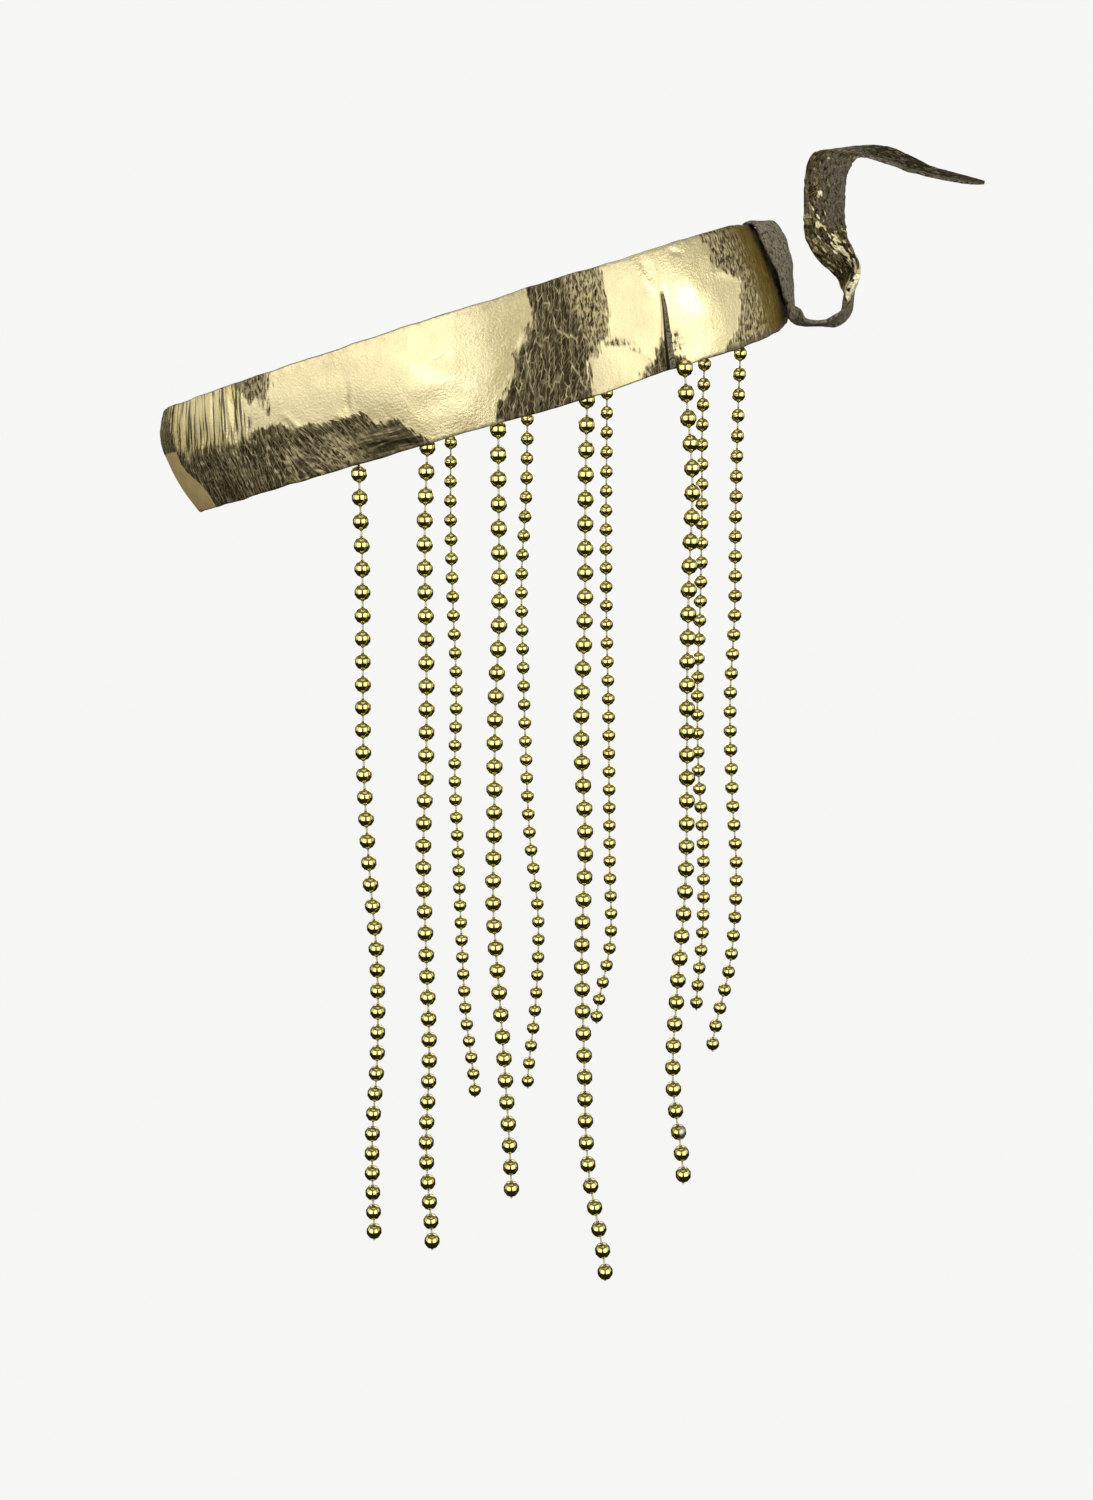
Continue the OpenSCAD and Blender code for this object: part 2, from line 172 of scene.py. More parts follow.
# Stations about 25 mm apart round the band: x and y of the outer face, then the upper and the lower edge
# above the sloping middle plane, then how far the upper and the lower edge curl inwards
PLAN_X, PLAN_Y, EDGE_TOP, EDGE_LOW, CURL_TOP, CURL_LOW = range(6)
STATIONS = np.array([
    [-108, 0, 18.6, -18.2, 7, 3], [-103, -19, 19, -18.2, 4, 2], [-88, -35, 18.2, -18.5, 1.4, 1],
    [-68, -48, 18.1, -18.6, 0.8, 0.6], [-42, -60, 17.7, -19, 0.6, 0.6], [-17, -71, 17.3, -19.1, 0.6, 0.6],
    [9, -76.5, 17, -19.8, 0.6, 0.6], [33, -77, 17.2, -20.2, 0.6, 0.6], [55, -71, 17.3, -19.3, 0.6, 0.6],
    [75, -59.5, 18.2, -19.4, 0.8, 1], [92, -43.5, 18.6, -18, 1, 2], [102, -23, 16.8, -15.8, 2.5, 4],
    [105.5, 0, 14.6, -14, 4, 5.5], [104.5, 24, 17, -15, 3, 4], [98.5, 46, 19, -17, 1, 1.6],
    [84.5, 62, 19.5, -17, 0.8, 0.6], [65, 72, 20, -17, 0.6, 0.6], [39, 77, 20, -17, 0.6, 0.6],
    [10, 78, 20, -17, 0.6, 0.6], [-20, 75, 20, -17, 0.6, 0.6], [-49, 65.5, 20, -17, 0.6, 0.6],
    [-74, 49.5, 19.6, -17.4, 1, 0.8], [-95, 27, 19.2, -18, 3.5, 1.6]])
STATION_COUNT = len(STATIONS)
STATION_LENGTH = 23.5
ROUND = STATION_COUNT * STATION_LENGTH
BAND_HEIGHT = 37.0
# Soft dents and swells: station, height from 0 at the lower edge to 1 at the upper, reach in stations,
# reach in height, and how far the leather stands out
DENTS = [
    (3.1, 0.3, 0.7, 0.35, -0.9), (4.8, 0.6, 0.8, 0.36, 0.7), (5.5, 0.3, 0.6, 0.35, 0.3),
    (6.6, 0.5, 0.5, 0.9, -1), (7.5, 0.3, 0.6, 0.5, -0.6), (8, 0.8, 0.35, 0.5, 0.7),
    (8.65, 0.54, 0.6, 0.36, 1.1), (10.6, 0.4, 0.5, 0.7, -0.8), (14.5, 0.5, 0.6, 0.6, 0.8),
    (16.2, 0.4, 0.8, 0.5, -0.8), (18, 0.6, 0.7, 0.5, 0.9), (19.8, 0.4, 0.6, 0.6, -0.9),
    (21.4, 0.6, 0.6, 0.5, 0.7)]
# How far the grain of the creases leans towards the nape per millimetre of height, by station: above the
# middle of the height, and below it
LEANS_ABOVE = [(-12, 0.2), (0, 0.3), (1.1, 0.75), (1.6, 0.62), (2.6, 0.42), (3.4, 0.3), (5.4, 0.3),
               (6.2, 0.42), (7.4, 0.3), (8.0, 0.1), (9.2, 0.25), (11, 0.1)]
LEANS_BELOW = [(-12, 0.2), (0, 0.2), (1.4, 0.1), (2.9, 0.05), (3.5, -0.35), (4.8, -0.3), (5.4, 0.3),
               (6.2, 0.38), (7.4, 0.25), (8.0, 0.1), (9.2, 0.3), (11, 0.1)]
DART_STATION, DART_LEAN, DART_REACH, DART_DEPTH = 7.97, 0.38, 0.64, 2.3
DART_STATION_LENGTH = 22.0
# The dart across its width: millimetres from its middle, and share of its depth
DART_PROFILE = np.array([
    [-1.3, 0], [-1.22, 0.2], [-1.15, 0.4], [-1.09, 0.6], [-1.04, 0.8], [-0.99, 0.95], [-0.92, 1],
    [-0.6, 1.02], [-0.3, 1.02], [-0.12, 0.98], [0, 0.9], [0.12, 0.98], [0.3, 1.02], [0.6, 1.02],
    [0.92, 1], [0.99, 0.95], [1.04, 0.8], [1.09, 0.6], [1.15, 0.4], [1.22, 0.2], [1.3, 0]])
# Crackled patches, a painted dark reflection over the crazing: each a closed border of station and height
DARK_PATCHES = [
    [(-1.3, 1.2), (1.5, 1.2), (1.58, 0.9), (1.68, 0.74), (1.95, 0.62), (2.2, 0.55), (2.5, 0.5),
     (2.75, 0.55), (3.0, 0.56), (3.25, 0.54), (3.38, 0.45), (3.5, 0.47), (3.75, 0.43), (4.0, 0.42),
     (4.25, 0.4), (4.35, 0.3), (4.6, 0.28), (4.72, 0.15), (4.8, 0.08), (4.9, 0), (5.0, -0.2),
     (-1.5, -0.2), (-1.7, 0.3), (-1.2, 0.55), (-1.5, 0.9)],
    [(2.6, 1.1), (2.68, 0.9), (2.8, 0.84), (2.92, 0.88), (2.98, 0.74), (3.06, 0.84), (3.16, 0.68),
     (3.22, 0.82), (3.34, 0.93), (3.4, 1.1)],
    [(6.62, 1.2), (6.55, 0.85), (6.52, 0.75), (6.4, 0.7), (6.35, 0.6), (6.15, 0.53), (6.1, 0.45),
     (6.03, 0.35), (5.85, 0.2), (5.75, 0.15), (5.65, 0), (5.6, -0.2), (6.83, -0.2), (6.85, 0), (6.9, 0.1),
     (6.97, 0.2), (7.0, 0.28), (7.15, 0.3), (7.2, 0.4), (7.35, 0.42), (7.4, 0.5), (7.45, 0.65),
     (7.52, 0.8), (7.62, 1.2)],
    # Small patches along creases and puckers by the dart and round its foot: painted shade
    [(7.25, 0.395), (7.4, 0.375), (7.52, 0.345), (7.6, 0.305), (7.5, 0.305), (7.36, 0.345), (7.22, 0.37)],
    [(7.55, 0.27), (7.64, 0.25), (7.68, 0.21), (7.62, 0.21)],
    [(7.46, -0.2), (7.57, 0.02), (7.72, 0.08), (7.82, 0.14), (7.91, 0.19), (7.98, 0.27), (8.04, 0.25),
     (7.96, -0.2)],
    [(7.96, -0.2), (8.02, 0.12), (8.1, 0.11), (8.18, 0.08), (8.24, 0.03), (8.26, -0.2)],
    [(8.06, 0.3), (8.2, 0.28), (8.24, 0.255), (8.06, 0.26)],
    [(8.05, 0.22), (8.2, 0.21), (8.2, 0.18), (8.05, 0.19)],
    [(8.04, 0.165), (8.22, 0.15), (8.26, 0.12), (8.04, 0.13)],
    [(9.15, 1.2), (9.2, 0.9), (9.15, 0.8), (9.2, 0.7), (9.3, 0.65), (9.45, 0.58), (9.5, 0.55),
     (9.45, 0.45), (9.4, 0.35), (9.3, 0.25), (9.2, 0.15), (9.05, 0.08), (8.9, 0.03), (8.7, -0.2),
     (12.6, -0.2), (12.4, 0.35), (12.7, 0.7), (12.5, 1.2)],
    [(14.2, 1.2), (14.4, 0.75), (14.9, 0.55), (15.3, 0.62), (15.5, 0.8), (15.9, 1.2)],
    [(15.7, -0.2), (15.9, 0.2), (16.3, 0.42), (16.6, 0.7), (16.7, 1.2), (17.6, 1.2), (17.4, 0.7),
     (17.2, 0.45), (17.0, 0.2), (17.05, -0.2)],
    [(18.4, -0.2), (18.6, 0.25), (19.1, 0.38), (19.7, 0.3), (20.3, 0.45), (20.7, 0.4), (21.0, 0.55),
     (21.5, 0.6), (22.0, 0.45), (22.2, -0.2)],
    [(19.3, 1.2), (19.45, 0.88), (19.7, 0.8), (19.9, 0.9), (20.0, 1.2)]]
# Where the foil has come off the brow and shows smooth tan leather
TAN_PATCH = [
    (-0.5, 0.56), (-0.2, 0.6), (0.6, 0.61), (1.18, 0.59), (1.16, 0.46), (1.2, 0.4), (1.33, 0.3),
    (1.43, 0.23), (1.49, 0.14), (1.5, 0), (1.5, -0.2), (-0.9, -0.2), (-0.85, 0.15), (-0.6, 0.35)]
# Folds of the leather: first and last point, width in millimetres, and height in millimetres
FOLDS = [
    (1.25, 0.42, 1.62, 0.75, 0.9, 0.45), (1.62, 0.75, 1.78, 1.0, 0.8, 0.4),
    (1.2, 0.5, 1.5, 0.85, 0.7, -0.35), (1.42, 0.45, 1.75, 0.85, 0.8, -0.4),
    (1.85, 0.55, 2.12, 0.98, 0.6, 0.4), (1.98, 0.5, 2.25, 0.98, 0.6, -0.35),
    (2.08, 0.48, 2.4, 1.0, 0.55, 0.4), (2.2, 0.5, 2.48, 1.0, 0.5, -0.3),
    (2.35, 0.45, 2.56, 0.95, 0.55, 0.45), (2.42, 0.42, 2.66, 0.98, 0.5, -0.4),
    (2.5, 0.5, 2.74, 1.0, 0.55, 0.45), (2.6, 0.55, 2.84, 1.0, 0.5, -0.35),
    (1.55, 0.1, 1.8, 0.55, 1.2, 0.5), (1.8, 0.05, 2.0, 0.5, 1.1, -0.5), (2.15, 0.05, 2.3, 0.45, 1.1, 0.5),
    (3.35, 0.6, 3.6, 0.0, 1.0, 0.6), (3.5, 0.45, 3.8, 0.05, 0.9, 0.5), (3.95, 0.45, 4.15, 0.2, 0.9, 0.4),
    (4.08, 0.46, 4.14, 0.58, 0.7, -0.6), (4.14, 0.58, 4.22, 0.68, 0.7, -0.4),
    (5.0, 0.8, 5.08, 0.96, 0.6, -0.35), (5.24, 0.62, 5.5, 0.68, 0.6, -0.35),
    (5.05, 0.42, 5.7, 0.5, 2.5, 0.2), (4.4, 0.57, 5.2, 0.68, 3.0, 0.25), (4.0, 0.16, 4.7, 0.12, 1.2, 0.5),
    (4.0, 0.08, 4.75, 0.03, 1.2, -0.4), (6.2, 0.5, 6.45, 0.68, 1.0, 0.5), (6.65, 0.9, 6.9, 0.4, 1.4, 0.6),
    (7.15, 0.95, 7.35, 0.5, 1.2, 0.5), (6.3, 0.35, 6.05, 0.0, 1.2, 0.6),
    (6.9, 0.35, 6.75, 0.02, 1.2, 0.5), (7.22, 0.385, 7.58, 0.315, 0.8, -0.7),
    (7.98, 0.98, 8.03, 0.66, 1.6, 0.5), (8.12, 0.98, 8.15, 0.7, 1.4, -0.4),
    (7.7, 0.2, 7.86, 0.02, 1.2, 0.6), (8.06, 0.275, 8.3, 0.27, 0.55, -0.5),
    (8.04, 0.21, 8.26, 0.205, 0.55, -0.5), (8.02, 0.165, 8.3, 0.14, 0.6, -0.6),
    (8.04, 0.24, 8.3, 0.238, 0.6, 0.4), (8.02, 0.185, 8.28, 0.18, 0.6, 0.4),
    (9.2, 0.66, 9.5, 0.56, 1.2, 0.5), (9.45, 0.95, 9.6, 0.3, 1.3, 0.5), (9.65, 0.95, 9.75, 0.2, 1.2, 0.5),
    (8.6, 0.94, 8.75, 0.9, 0.9, -0.35), (9.25, 0.9, 9.15, 0.7, 1.0, -0.5),
    (-1.0, 0.95, -0.6, 0.4, 1.4, 0.7), (-1.3, 0.9, -0.9, 0.3, 1.3, -0.7),
    (-1.6, 0.95, -1.3, 0.4, 1.3, 0.6), (14.6, 0.9, 15.2, 0.5, 1.4, 0.6), (16.3, 0.1, 16.9, 0.9, 1.3, 0.7),
    (16.6, 0.1, 17.2, 0.9, 1.3, -0.6), (18.6, 0.1, 19.2, 0.6, 1.3, 0.6),
    (20.2, 0.2, 20.6, 0.7, 1.3, -0.6), (20.6, 0.2, 21.0, 0.7, 1.3, 0.6)]


def curve_between(a, b, c, d, t):
    """Catmull-Rom curve from b to c: b plus t/2 times (c less a, plus t times (twice a, less five b, plus
    four c, less d, plus t times (three b, less three c, plus d, less a)))."""
    return b + t / 2 * (c - a + t * (2 * a - 5 * b + 4 * c - d + t * (3 * b - 3 * c + d - a)))


def round_ring(column, u):
    """One column of STATIONS read smoothly at place u round the closed ring."""
    i = np.floor(u).astype(int)
    rows = STATIONS[:, column]
    near = [rows[(i + step) % len(rows)] for step in (-1, 0, 1, 2)]
    return curve_between(*near, u - i)


def band_surface(u, v, out):
    """A point of the band's wall at place u round the ring and height v from 0 to 1. The plan curve is
    moved along its outward normal by out, plus each dent times a bell curve of the distance from its
    middle, less the curl of the edges; it leans forward by the rake times the height, and rises by the
    slope times x."""
    ahead = np.stack([round_ring(c, u + 0.02) - round_ring(c, u - 0.02) for c in (PLAN_X, PLAN_Y)], -1)
    ahead /= np.linalg.norm(ahead, axis=-1, keepdims=True)
    outward = np.stack([ahead[..., 1], -ahead[..., 0]], -1)
    push = out - round_ring(CURL_TOP, u) * np.maximum(0, 2 * v - 1) ** 3
    push = push - round_ring(CURL_LOW, u) * np.maximum(0, 1 - 2 * v) ** 2
    for station, middle, reach_u, reach_v, rise in DENTS:
        off = (u - station + STATION_COUNT / 2) % STATION_COUNT - STATION_COUNT / 2
        push = push + rise * np.exp(-(off / reach_u) ** 2 - ((v - middle) / reach_v) ** 2)
    low, top = round_ring(EDGE_LOW, u), round_ring(EDGE_TOP, u)
    height = low + (top - low) * v
    x = round_ring(PLAN_X, u) + outward[..., 0] * push - WALL_RAKE * height
    y = round_ring(PLAN_Y, u) + outward[..., 1] * push
    return np.stack([x, y, height + RING_SLOPE * x], -1) * MM


def inside_distance(u, v, border):
    """Millimetres from each point of the band to the border of a patch, positive inside it: the least
    distance to any side, its sign turned each time a line towards +u crosses a side."""
    border = np.array(border) * (STATION_LENGTH, BAND_HEIGHT)
    best = np.full(np.broadcast(u, v).shape, 1e6)
    inside = np.zeros(best.shape, bool)
    x, y = u * STATION_LENGTH, v * BAND_HEIGHT
    for (ax, ay), (bx, by) in zip(border, np.roll(border, -1, 0)):
        share = ((x - ax) * (bx - ax) + (y - ay) * (by - ay)) / ((bx - ax) ** 2 + (by - ay) ** 2)
        share = np.clip(share, 0, 1)
        best = np.minimum(best, np.hypot(x - ax - share * (bx - ax), y - ay - share * (by - ay)))
        if ay != by:
            crossed = ((ay > y) != (by > y)) & (x < ax + (y - ay) * (bx - ax) / (by - ay))
            inside ^= crossed
    return np.where(inside, best, -best)


# Random values repeat after this many squares or cells
CELLS = 64


def soft_noise(x, y, seed):
    """Smooth random hills of height -1 to 1, one to each unit square: random values at whole numbers,
    eased between them by 3t^2 - 2t^3."""
    values = np.random.default_rng(seed).uniform(-1, 1, (CELLS, CELLS))
    i, j = np.floor(x).astype(int), np.floor(y).astype(int)
    s, t = x - i, y - j
    s, t = s * s * (3 - 2 * s), t * t * (3 - 2 * t)
    rows = [values[(i + a) % CELLS, j % CELLS] * (1 - t)
            + values[(i + a) % CELLS, (j + 1) % CELLS] * t for a in (0, 1)]
    return rows[0] * (1 - s) + rows[1] * s


def crease_net(x, y, across, up, lean, width, seed):
    """Creases between the cells of crazed foil, 1 on a crease and 0 away from it. The plane is turned by
    lean and cut into cells of across by up millimetres with a centre at random in each, and the value is a
    bell curve of how much farther the second nearest centre is than the nearest."""
    centres = np.random.default_rng(seed).uniform(0.05, 0.95, (CELLS, CELLS, 2))
    a = (x * math.cos(lean) + y * math.sin(lean)) / across
    b = (y * math.cos(lean) - x * math.sin(lean)) / up
    shift_a = 0.35 * soft_noise(a * 0.6, b * 0.9, seed + 1)
    shift_b = 0.35 * soft_noise(a * 0.5, b * 0.8, seed + 2)
    a, b = a + shift_a, b + shift_b
    i, j = np.floor(a).astype(int), np.floor(b).astype(int)
    nearest = np.full(a.shape, 9.0)
    second = np.full(a.shape, 9.0)
    for di in (-1, 0, 1):
        for dj in (-1, 0, 1):
            centre = centres[(i + di) % CELLS, (j + dj) % CELLS]
            reach = np.hypot(a - i - di - centre[..., 0], b - j - dj - centre[..., 1])
            second = np.minimum(second, np.maximum(nearest, reach))
            nearest = np.minimum(nearest, reach)
    return np.exp(-((second - nearest) / width) ** 2)


def add_piece(name, points, faces, nodes, materials, kinds=None, uv=None, layers=None, grain=None,
              normals=None):
    """Makes a mesh object from arrays: points, four sided faces, a material index per face, one or two UV
    pairs per face corner, named values per point and the way each point faces. It rides on the root and
    stands for the CAD nodes."""
    mesh = bpy.data.meshes.new(name)
    mesh.vertices.add(len(points))
    mesh.vertices.foreach_set("co", np.asarray(points, np.float32).ravel())
    mesh.loops.add(faces.size)
    mesh.loops.foreach_set("vertex_index", faces.ravel().astype(np.int32))
    mesh.polygons.add(len(faces))
    mesh.polygons.foreach_set("loop_start", np.arange(0, faces.size, faces.shape[1], dtype=np.int32))
    if kinds is not None:
        mesh.polygons.foreach_set("material_index", np.asarray(kinds, np.int32))
    mesh.update(calc_edges=True)
    mesh.shade_smooth()
    for label, pairs in (("unrolled", uv), ("grain", grain)):
        if pairs is not None:
            layer = mesh.uv_layers.new(name=label)
            layer.uv.foreach_set("vector", np.asarray(pairs, np.float32).ravel())
    for label, values in (layers or {}).items():
        layer = mesh.attributes.new(label, "FLOAT", "POINT")
        layer.data.foreach_set("value", np.asarray(values, np.float32).ravel())
    for material in materials:
        mesh.materials.append(material)
    mesh.validate()
    if normals is not None:
        mesh.normals_split_custom_set_from_vertices(normals)
    piece = bpy.data.objects.new(name, mesh)
    bpy.context.scene.collection.objects.link(piece)
    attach(piece, "root")
    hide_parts(*nodes)


# Steps from a face's first corner to its four corners, along and round
FACE_CORNERS = ((0, 0), (0, 1), (1, 1), (1, 0))


def grid_faces(count, sides, closed):
    """Four sided faces between each ring of points and the next, the last ring joined to the first if
    the row of rings is closed."""
    i, j = np.meshgrid(np.arange(count if closed else count - 1), np.arange(sides), indexing="ij")
    after, beside = (i + 1) % count, (j + 1) % sides
    return np.stack([i * sides + j, i * sides + beside, after * sides + beside, after * sides + j], -1), i, j


def corner_pairs(first, second, i, j):
    """The pair of a first and a second value at each corner of the faces that grid_faces makes."""
    return np.stack([np.stack([first[i + a], second[j + b]], -1) for a, b in FACE_CORNERS], -2)


def lengths_along(points):
    """How far each point of a line lies from its start, added up from point to point."""
    return np.concatenate([[0], np.cumsum(np.linalg.norm(np.diff(points, axis=0), axis=-1))])


def ramp(value, width):
    """0 where the value is 0 or less, 1 where it is the width or more, and the value divided by the width
    in between."""
    return np.clip(value / width, 0, 1)


def band_relief(u, v):
    """Folds of the outer face in millimetres: half the height of each times a bell curve of the distance
    from its line, which bows a little, and it fades towards both ends of the line."""
    x, y = u * STATION_LENGTH, v * BAND_HEIGHT
    relief = np.zeros(x.shape)
    for u0, v0, u1, v1, wide, high in FOLDS:
        ax, ay, bx, by = u0 * STATION_LENGTH, v0 * BAND_HEIGHT, u1 * STATION_LENGTH, v1 * BAND_HEIGHT
        turned = (x - ax + ROUND / 2) % ROUND - ROUND / 2 + ax
        length = math.hypot(bx - ax, by - ay)
        share = ((turned - ax) * (bx - ax) + (y - ay) * (by - ay)) / length ** 2
        held = np.clip(share, 0, 1)
        bow = 0.04 * length * np.sin(math.pi * held)
        near = np.hypot(turned - ax - held * (bx - ax) + bow * (by - ay) / length,
                        y - ay - held * (by - ay) - bow * (bx - ax) / length)
        relief += high * 0.5 * np.exp(-(near / wide) ** 2) * np.clip(1.25 - 1.5 * np.abs(held - 0.5), 0, 1)
    return relief


# Places of the columns of points round the ring: fine on the side that faces the camera, and the dart's
# own columns in place of those near it
DART_GAP = 1.75
FIRST_PLACE, LAST_PLACE = -12, 11
near_side = np.arange(0, LAST_PLACE, 0.0205)
far_side = np.arange(FIRST_PLACE, 0, 0.036)
places = np.concatenate([far_side, near_side])
places = places[np.abs(places - DART_STATION) > DART_GAP / DART_STATION_LENGTH]
dart_places = DART_STATION + DART_PROFILE[:, 0] / DART_STATION_LENGTH
shares = np.concatenate([np.zeros(len(places)), DART_PROFILE[:, 1]])
places = np.concatenate([places, dart_places])
order = np.argsort(places)
places, shares = places[order], shares[order]

# Places of the rows round the strip's section: up the inner face, over the upper edge, down the outer
# face and under the lower edge. Each is a height and how far it lies from outer face 0 to inner face 1.
INNER_ROWS, EDGE_ROWS, OUTER_ROWS = 27, 4, 60
EDGE_BULGE = 0.014
inner_rows = [(v, 1.0) for v in np.linspace(0, 1, INNER_ROWS)]
edge_turn = np.linspace(0, math.pi, EDGE_ROWS + 2)[1:-1]
upper_rows = [(1 + EDGE_BULGE * math.sin(a), 0.5 + 0.5 * math.cos(a)) for a in edge_turn]
outer_rows = [(v, 0.0) for v in np.linspace(1, 0, OUTER_ROWS)]
lower_rows = [(-EDGE_BULGE * math.sin(a), 0.5 - 0.5 * math.cos(a)) for a in edge_turn]
section = np.array(inner_rows + upper_rows + outer_rows + lower_rows)
first_outer = INNER_ROWS + EDGE_ROWS
row_v, row_in = section[:, 0], section[:, 1]

u, v = np.meshgrid(places, row_v, indexing="ij")
held_v = np.clip(v, 0, 1)
off_dart = (u - DART_STATION) * DART_STATION_LENGTH
narrow = 1 - 0.6 * ramp(held_v, DART_REACH) * ramp(5.0 - np.abs(off_dart), 3.3)
u = DART_STATION + (u - DART_STATION) * narrow
u = u + DART_LEAN * held_v * np.exp(-((u - DART_STATION) / 1.2) ** 2)

x, y = u * STATION_LENGTH, held_v * BAND_HEIGHT
# How far each point lies inside the crackled patches, which are painted dark as a painted reflection
dark = np.full(u.shape, -1e6)
for patch in DARK_PATCHES:
    for lap in (0, STATION_COUNT):
        patch_start, patch_end = min(p[0] for p in patch) - lap, max(p[0] for p in patch) - lap
        if patch_start < LAST_PLACE + 0.5 and patch_end > FIRST_PLACE - 0.5:
            dark = np.maximum(dark, inside_distance(u + lap, held_v, patch))
tan_leather = inside_distance(u, held_v, TAN_PATCH)
in_dark = ramp(dark + 1.0, 2.5)
in_tan = ramp(tan_leather + 0.5, 1.5)
# The creases run along their own grain, and climb the flanks of the dart
above = ramp(held_v - 0.4, 0.2)
lean = np.interp(u, *np.array(LEANS_ABOVE).T) * above + np.interp(u, *np.array(LEANS_BELOW).T) * (1 - above)
level = np.exp(-((u - 4.4) / 0.45) ** 4) * ramp(0.30 - held_v, 0.1)
dart_height = DART_DEPTH * np.interp(held_v, [0, 0.15, 0.3, 0.5, 0.6, DART_REACH],
                                     [1, 0.8, 0.66, 0.5, 0.3, 0])
dart_rise = dart_height * shares[:, None]
grain_x, grain_y = x - lean * (y - 18) - np.sign(off_dart) * dart_rise, y
net = crease_net(grain_x, grain_y, 1.9, 7.0, 0.0, 0.16, 11)
fine_net = crease_net(grain_x, grain_y, 1.4, 4.0, 0.2, 0.2, 23)
streaks = ramp(u - 1.12, 0.2) * ramp(2.95 - u, 0.2) * ramp(held_v - 0.42, 0.22)
strips = soft_noise(grain_x / 0.8, grain_y / 12, 31) * 0.6
strips += soft_noise(grain_x / 1.4, grain_y / 16, 32) * 0.6
relief = band_relief(u, held_v)
relief += (0.20 * net + 0.10 * fine_net - 0.08) * in_dark * (1 - in_tan)
relief += (0.02 * net - 0.005) * (1 - in_dark) + 0.12 * soft_noise(x / 7, y / 6, 41)
relief += 0.10 * strips * streaks
relief *= 1 - 0.85 * in_tan
# The dart's flanks are painted as dark as the crackled patches: painted shade
fin = (shares[:, None] > 0.3) & (shares[:, None] < 1.01) & (np.abs(off_dart) > 0.95) & (held_v < DART_REACH)
dark = np.where(fin, 4.0, dark)
on_dart = (shares[:, None] > 0.85) & (np.abs(off_dart) < 0.93) & (held_v < DART_REACH)
relief *= 1 - 0.8 * (shares[:, None] > 0.1) * ramp(DART_REACH - held_v, 0.05)
outside = (1 - row_in)[None, :]
ragged = 0.05 * soft_noise(x / 1.9, v * 30, 51) + 0.2 * soft_noise(x / 5, v * 2, 52)
at_edge = np.clip(1 - np.minimum(held_v, 1 - held_v) * 14, 0, 1)
edge_thin = 1 - 0.25 * at_edge
out = -LEATHER * row_in[None, :] * edge_thin + (relief + dart_rise) * outside
out += 0.35 * row_in[None, :] * (relief * 0.5 + 0.2 * soft_noise(x / 5, y / 5, 61))
points = band_surface(u, v, out)
points[..., 2] += MM * ragged * at_edge

# Values that the materials read at each point
layers = {
    "dark": dark,
    "tan": tan_leather,
    "net": ramp(u - 5.3, 0.4) * ramp(9.3 - u, 0.4) + ramp(-1.5 - u, 0.5),
    "streak": streaks,
    # Share of bright stripes in the streaked zone, rising away from the brow and towards the upper edge:
    # painted light
    "lit": ramp(u - 1.3, 0.6) * ramp(held_v - 0.45, 0.4),
    # The end of the band behind the strap, which curves away: painted shade in dark greenish gold
    "olive": ramp(u - 9.55, 0.45) * ramp(12.6 - u, 0.5) + ramp(-10.4 - u, 0.5),
    "mottle": ramp(u - 7.0, 0.12) * ramp(7.7 - u, 0.1)
    + ramp(u - 8.9, 0.2) * ramp(10.2 - u, 0.4)
    + np.exp(-((u - 3.8) / 0.28) ** 2 - ((held_v - 0.14) / 0.14) ** 2)
    + 0.8 * np.exp(-((u - 3.1) / 0.4) ** 4 - ((held_v - 0.85) / 0.2) ** 4)
    + ramp(1.9 - np.abs(u), 0.5) * ramp(held_v - 0.55, 0.2) * 0.5,
    "edge": at_edge,
    # The dart's flanks: painted shade
    "fin": fin * 1.0,
    "level": level,
    # Beside the strap: painted shadow of the strap
    "sooty": ramp(u - 10.15, 0.4) * ramp(11.5 - u, 0.5),
    "lip": ramp(u - 8.3, 0.2) * ramp(10.6 - u, 0.3)
    * ramp(0.012 + 0.03 * ramp(u - 8.4, 0.8) - held_v, 0.02)}

# The foil is unrolled along the middle row of the outer face, and up one column on the near side
MIDDLE_ROW = first_outer + OUTER_ROWS // 2 - 1
NEAR_COLUMN = 400
along = lengths_along(np.append(points[:, MIDDLE_ROW, :2], points[:1, MIDDLE_ROW, :2], 0))
rise = lengths_along(np.append(points[NEAR_COLUMN], points[NEAR_COLUMN, :1], 0))
faces, i, j = grid_faces(len(places), len(section), True)
uv = corner_pairs(along, rise, i, j)
on_outer = (j >= first_outer - 1) & (j <= first_outer + OUTER_ROWS)
on_cut = np.minimum(on_dart[i, j], on_dart[(i + 1) % len(places), (j + 1) % len(section)])
kinds = np.where(on_outer & ~on_cut, 0, 1)
grain_ring = np.stack([grain_x, grain_y], -1)
grain_ring = np.concatenate([grain_ring, grain_ring[:1] + (ROUND, 0)])
grain_loop = np.stack([grain_ring[i + a, (j + b) % len(section)] for a, b in FACE_CORNERS], -2) * MM


def noise_between(tree, vector, scale, low, high, detail=3):
    """A noise pattern of that scale, spread between two values."""
    return spread(tree, noise(tree, vector, scale, detail), 0.33, 0.67, low, high)


def blend(tree, share, first, second):
    """The first colour, or the second by the given share of it."""
    return add_node(tree, "Mix", {0: share, 6: first, 7: second}, data_type="RGBA").outputs[2]


def calculate(tree, operation, first, second=0.0, third=0.0):
    """The result of one sum on the given values."""
    return add_node(tree, "Math", {0: first, 1: second, 2: third}, operation=operation).outputs[0]


def times(tree, first, second):
    """The first value times the second."""
    return calculate(tree, "MULTIPLY", first, second)


def times_plus(tree, first, second, third):
    """The first value times the second, plus the third."""
    return calculate(tree, "MULTIPLY_ADD", first, second, third)


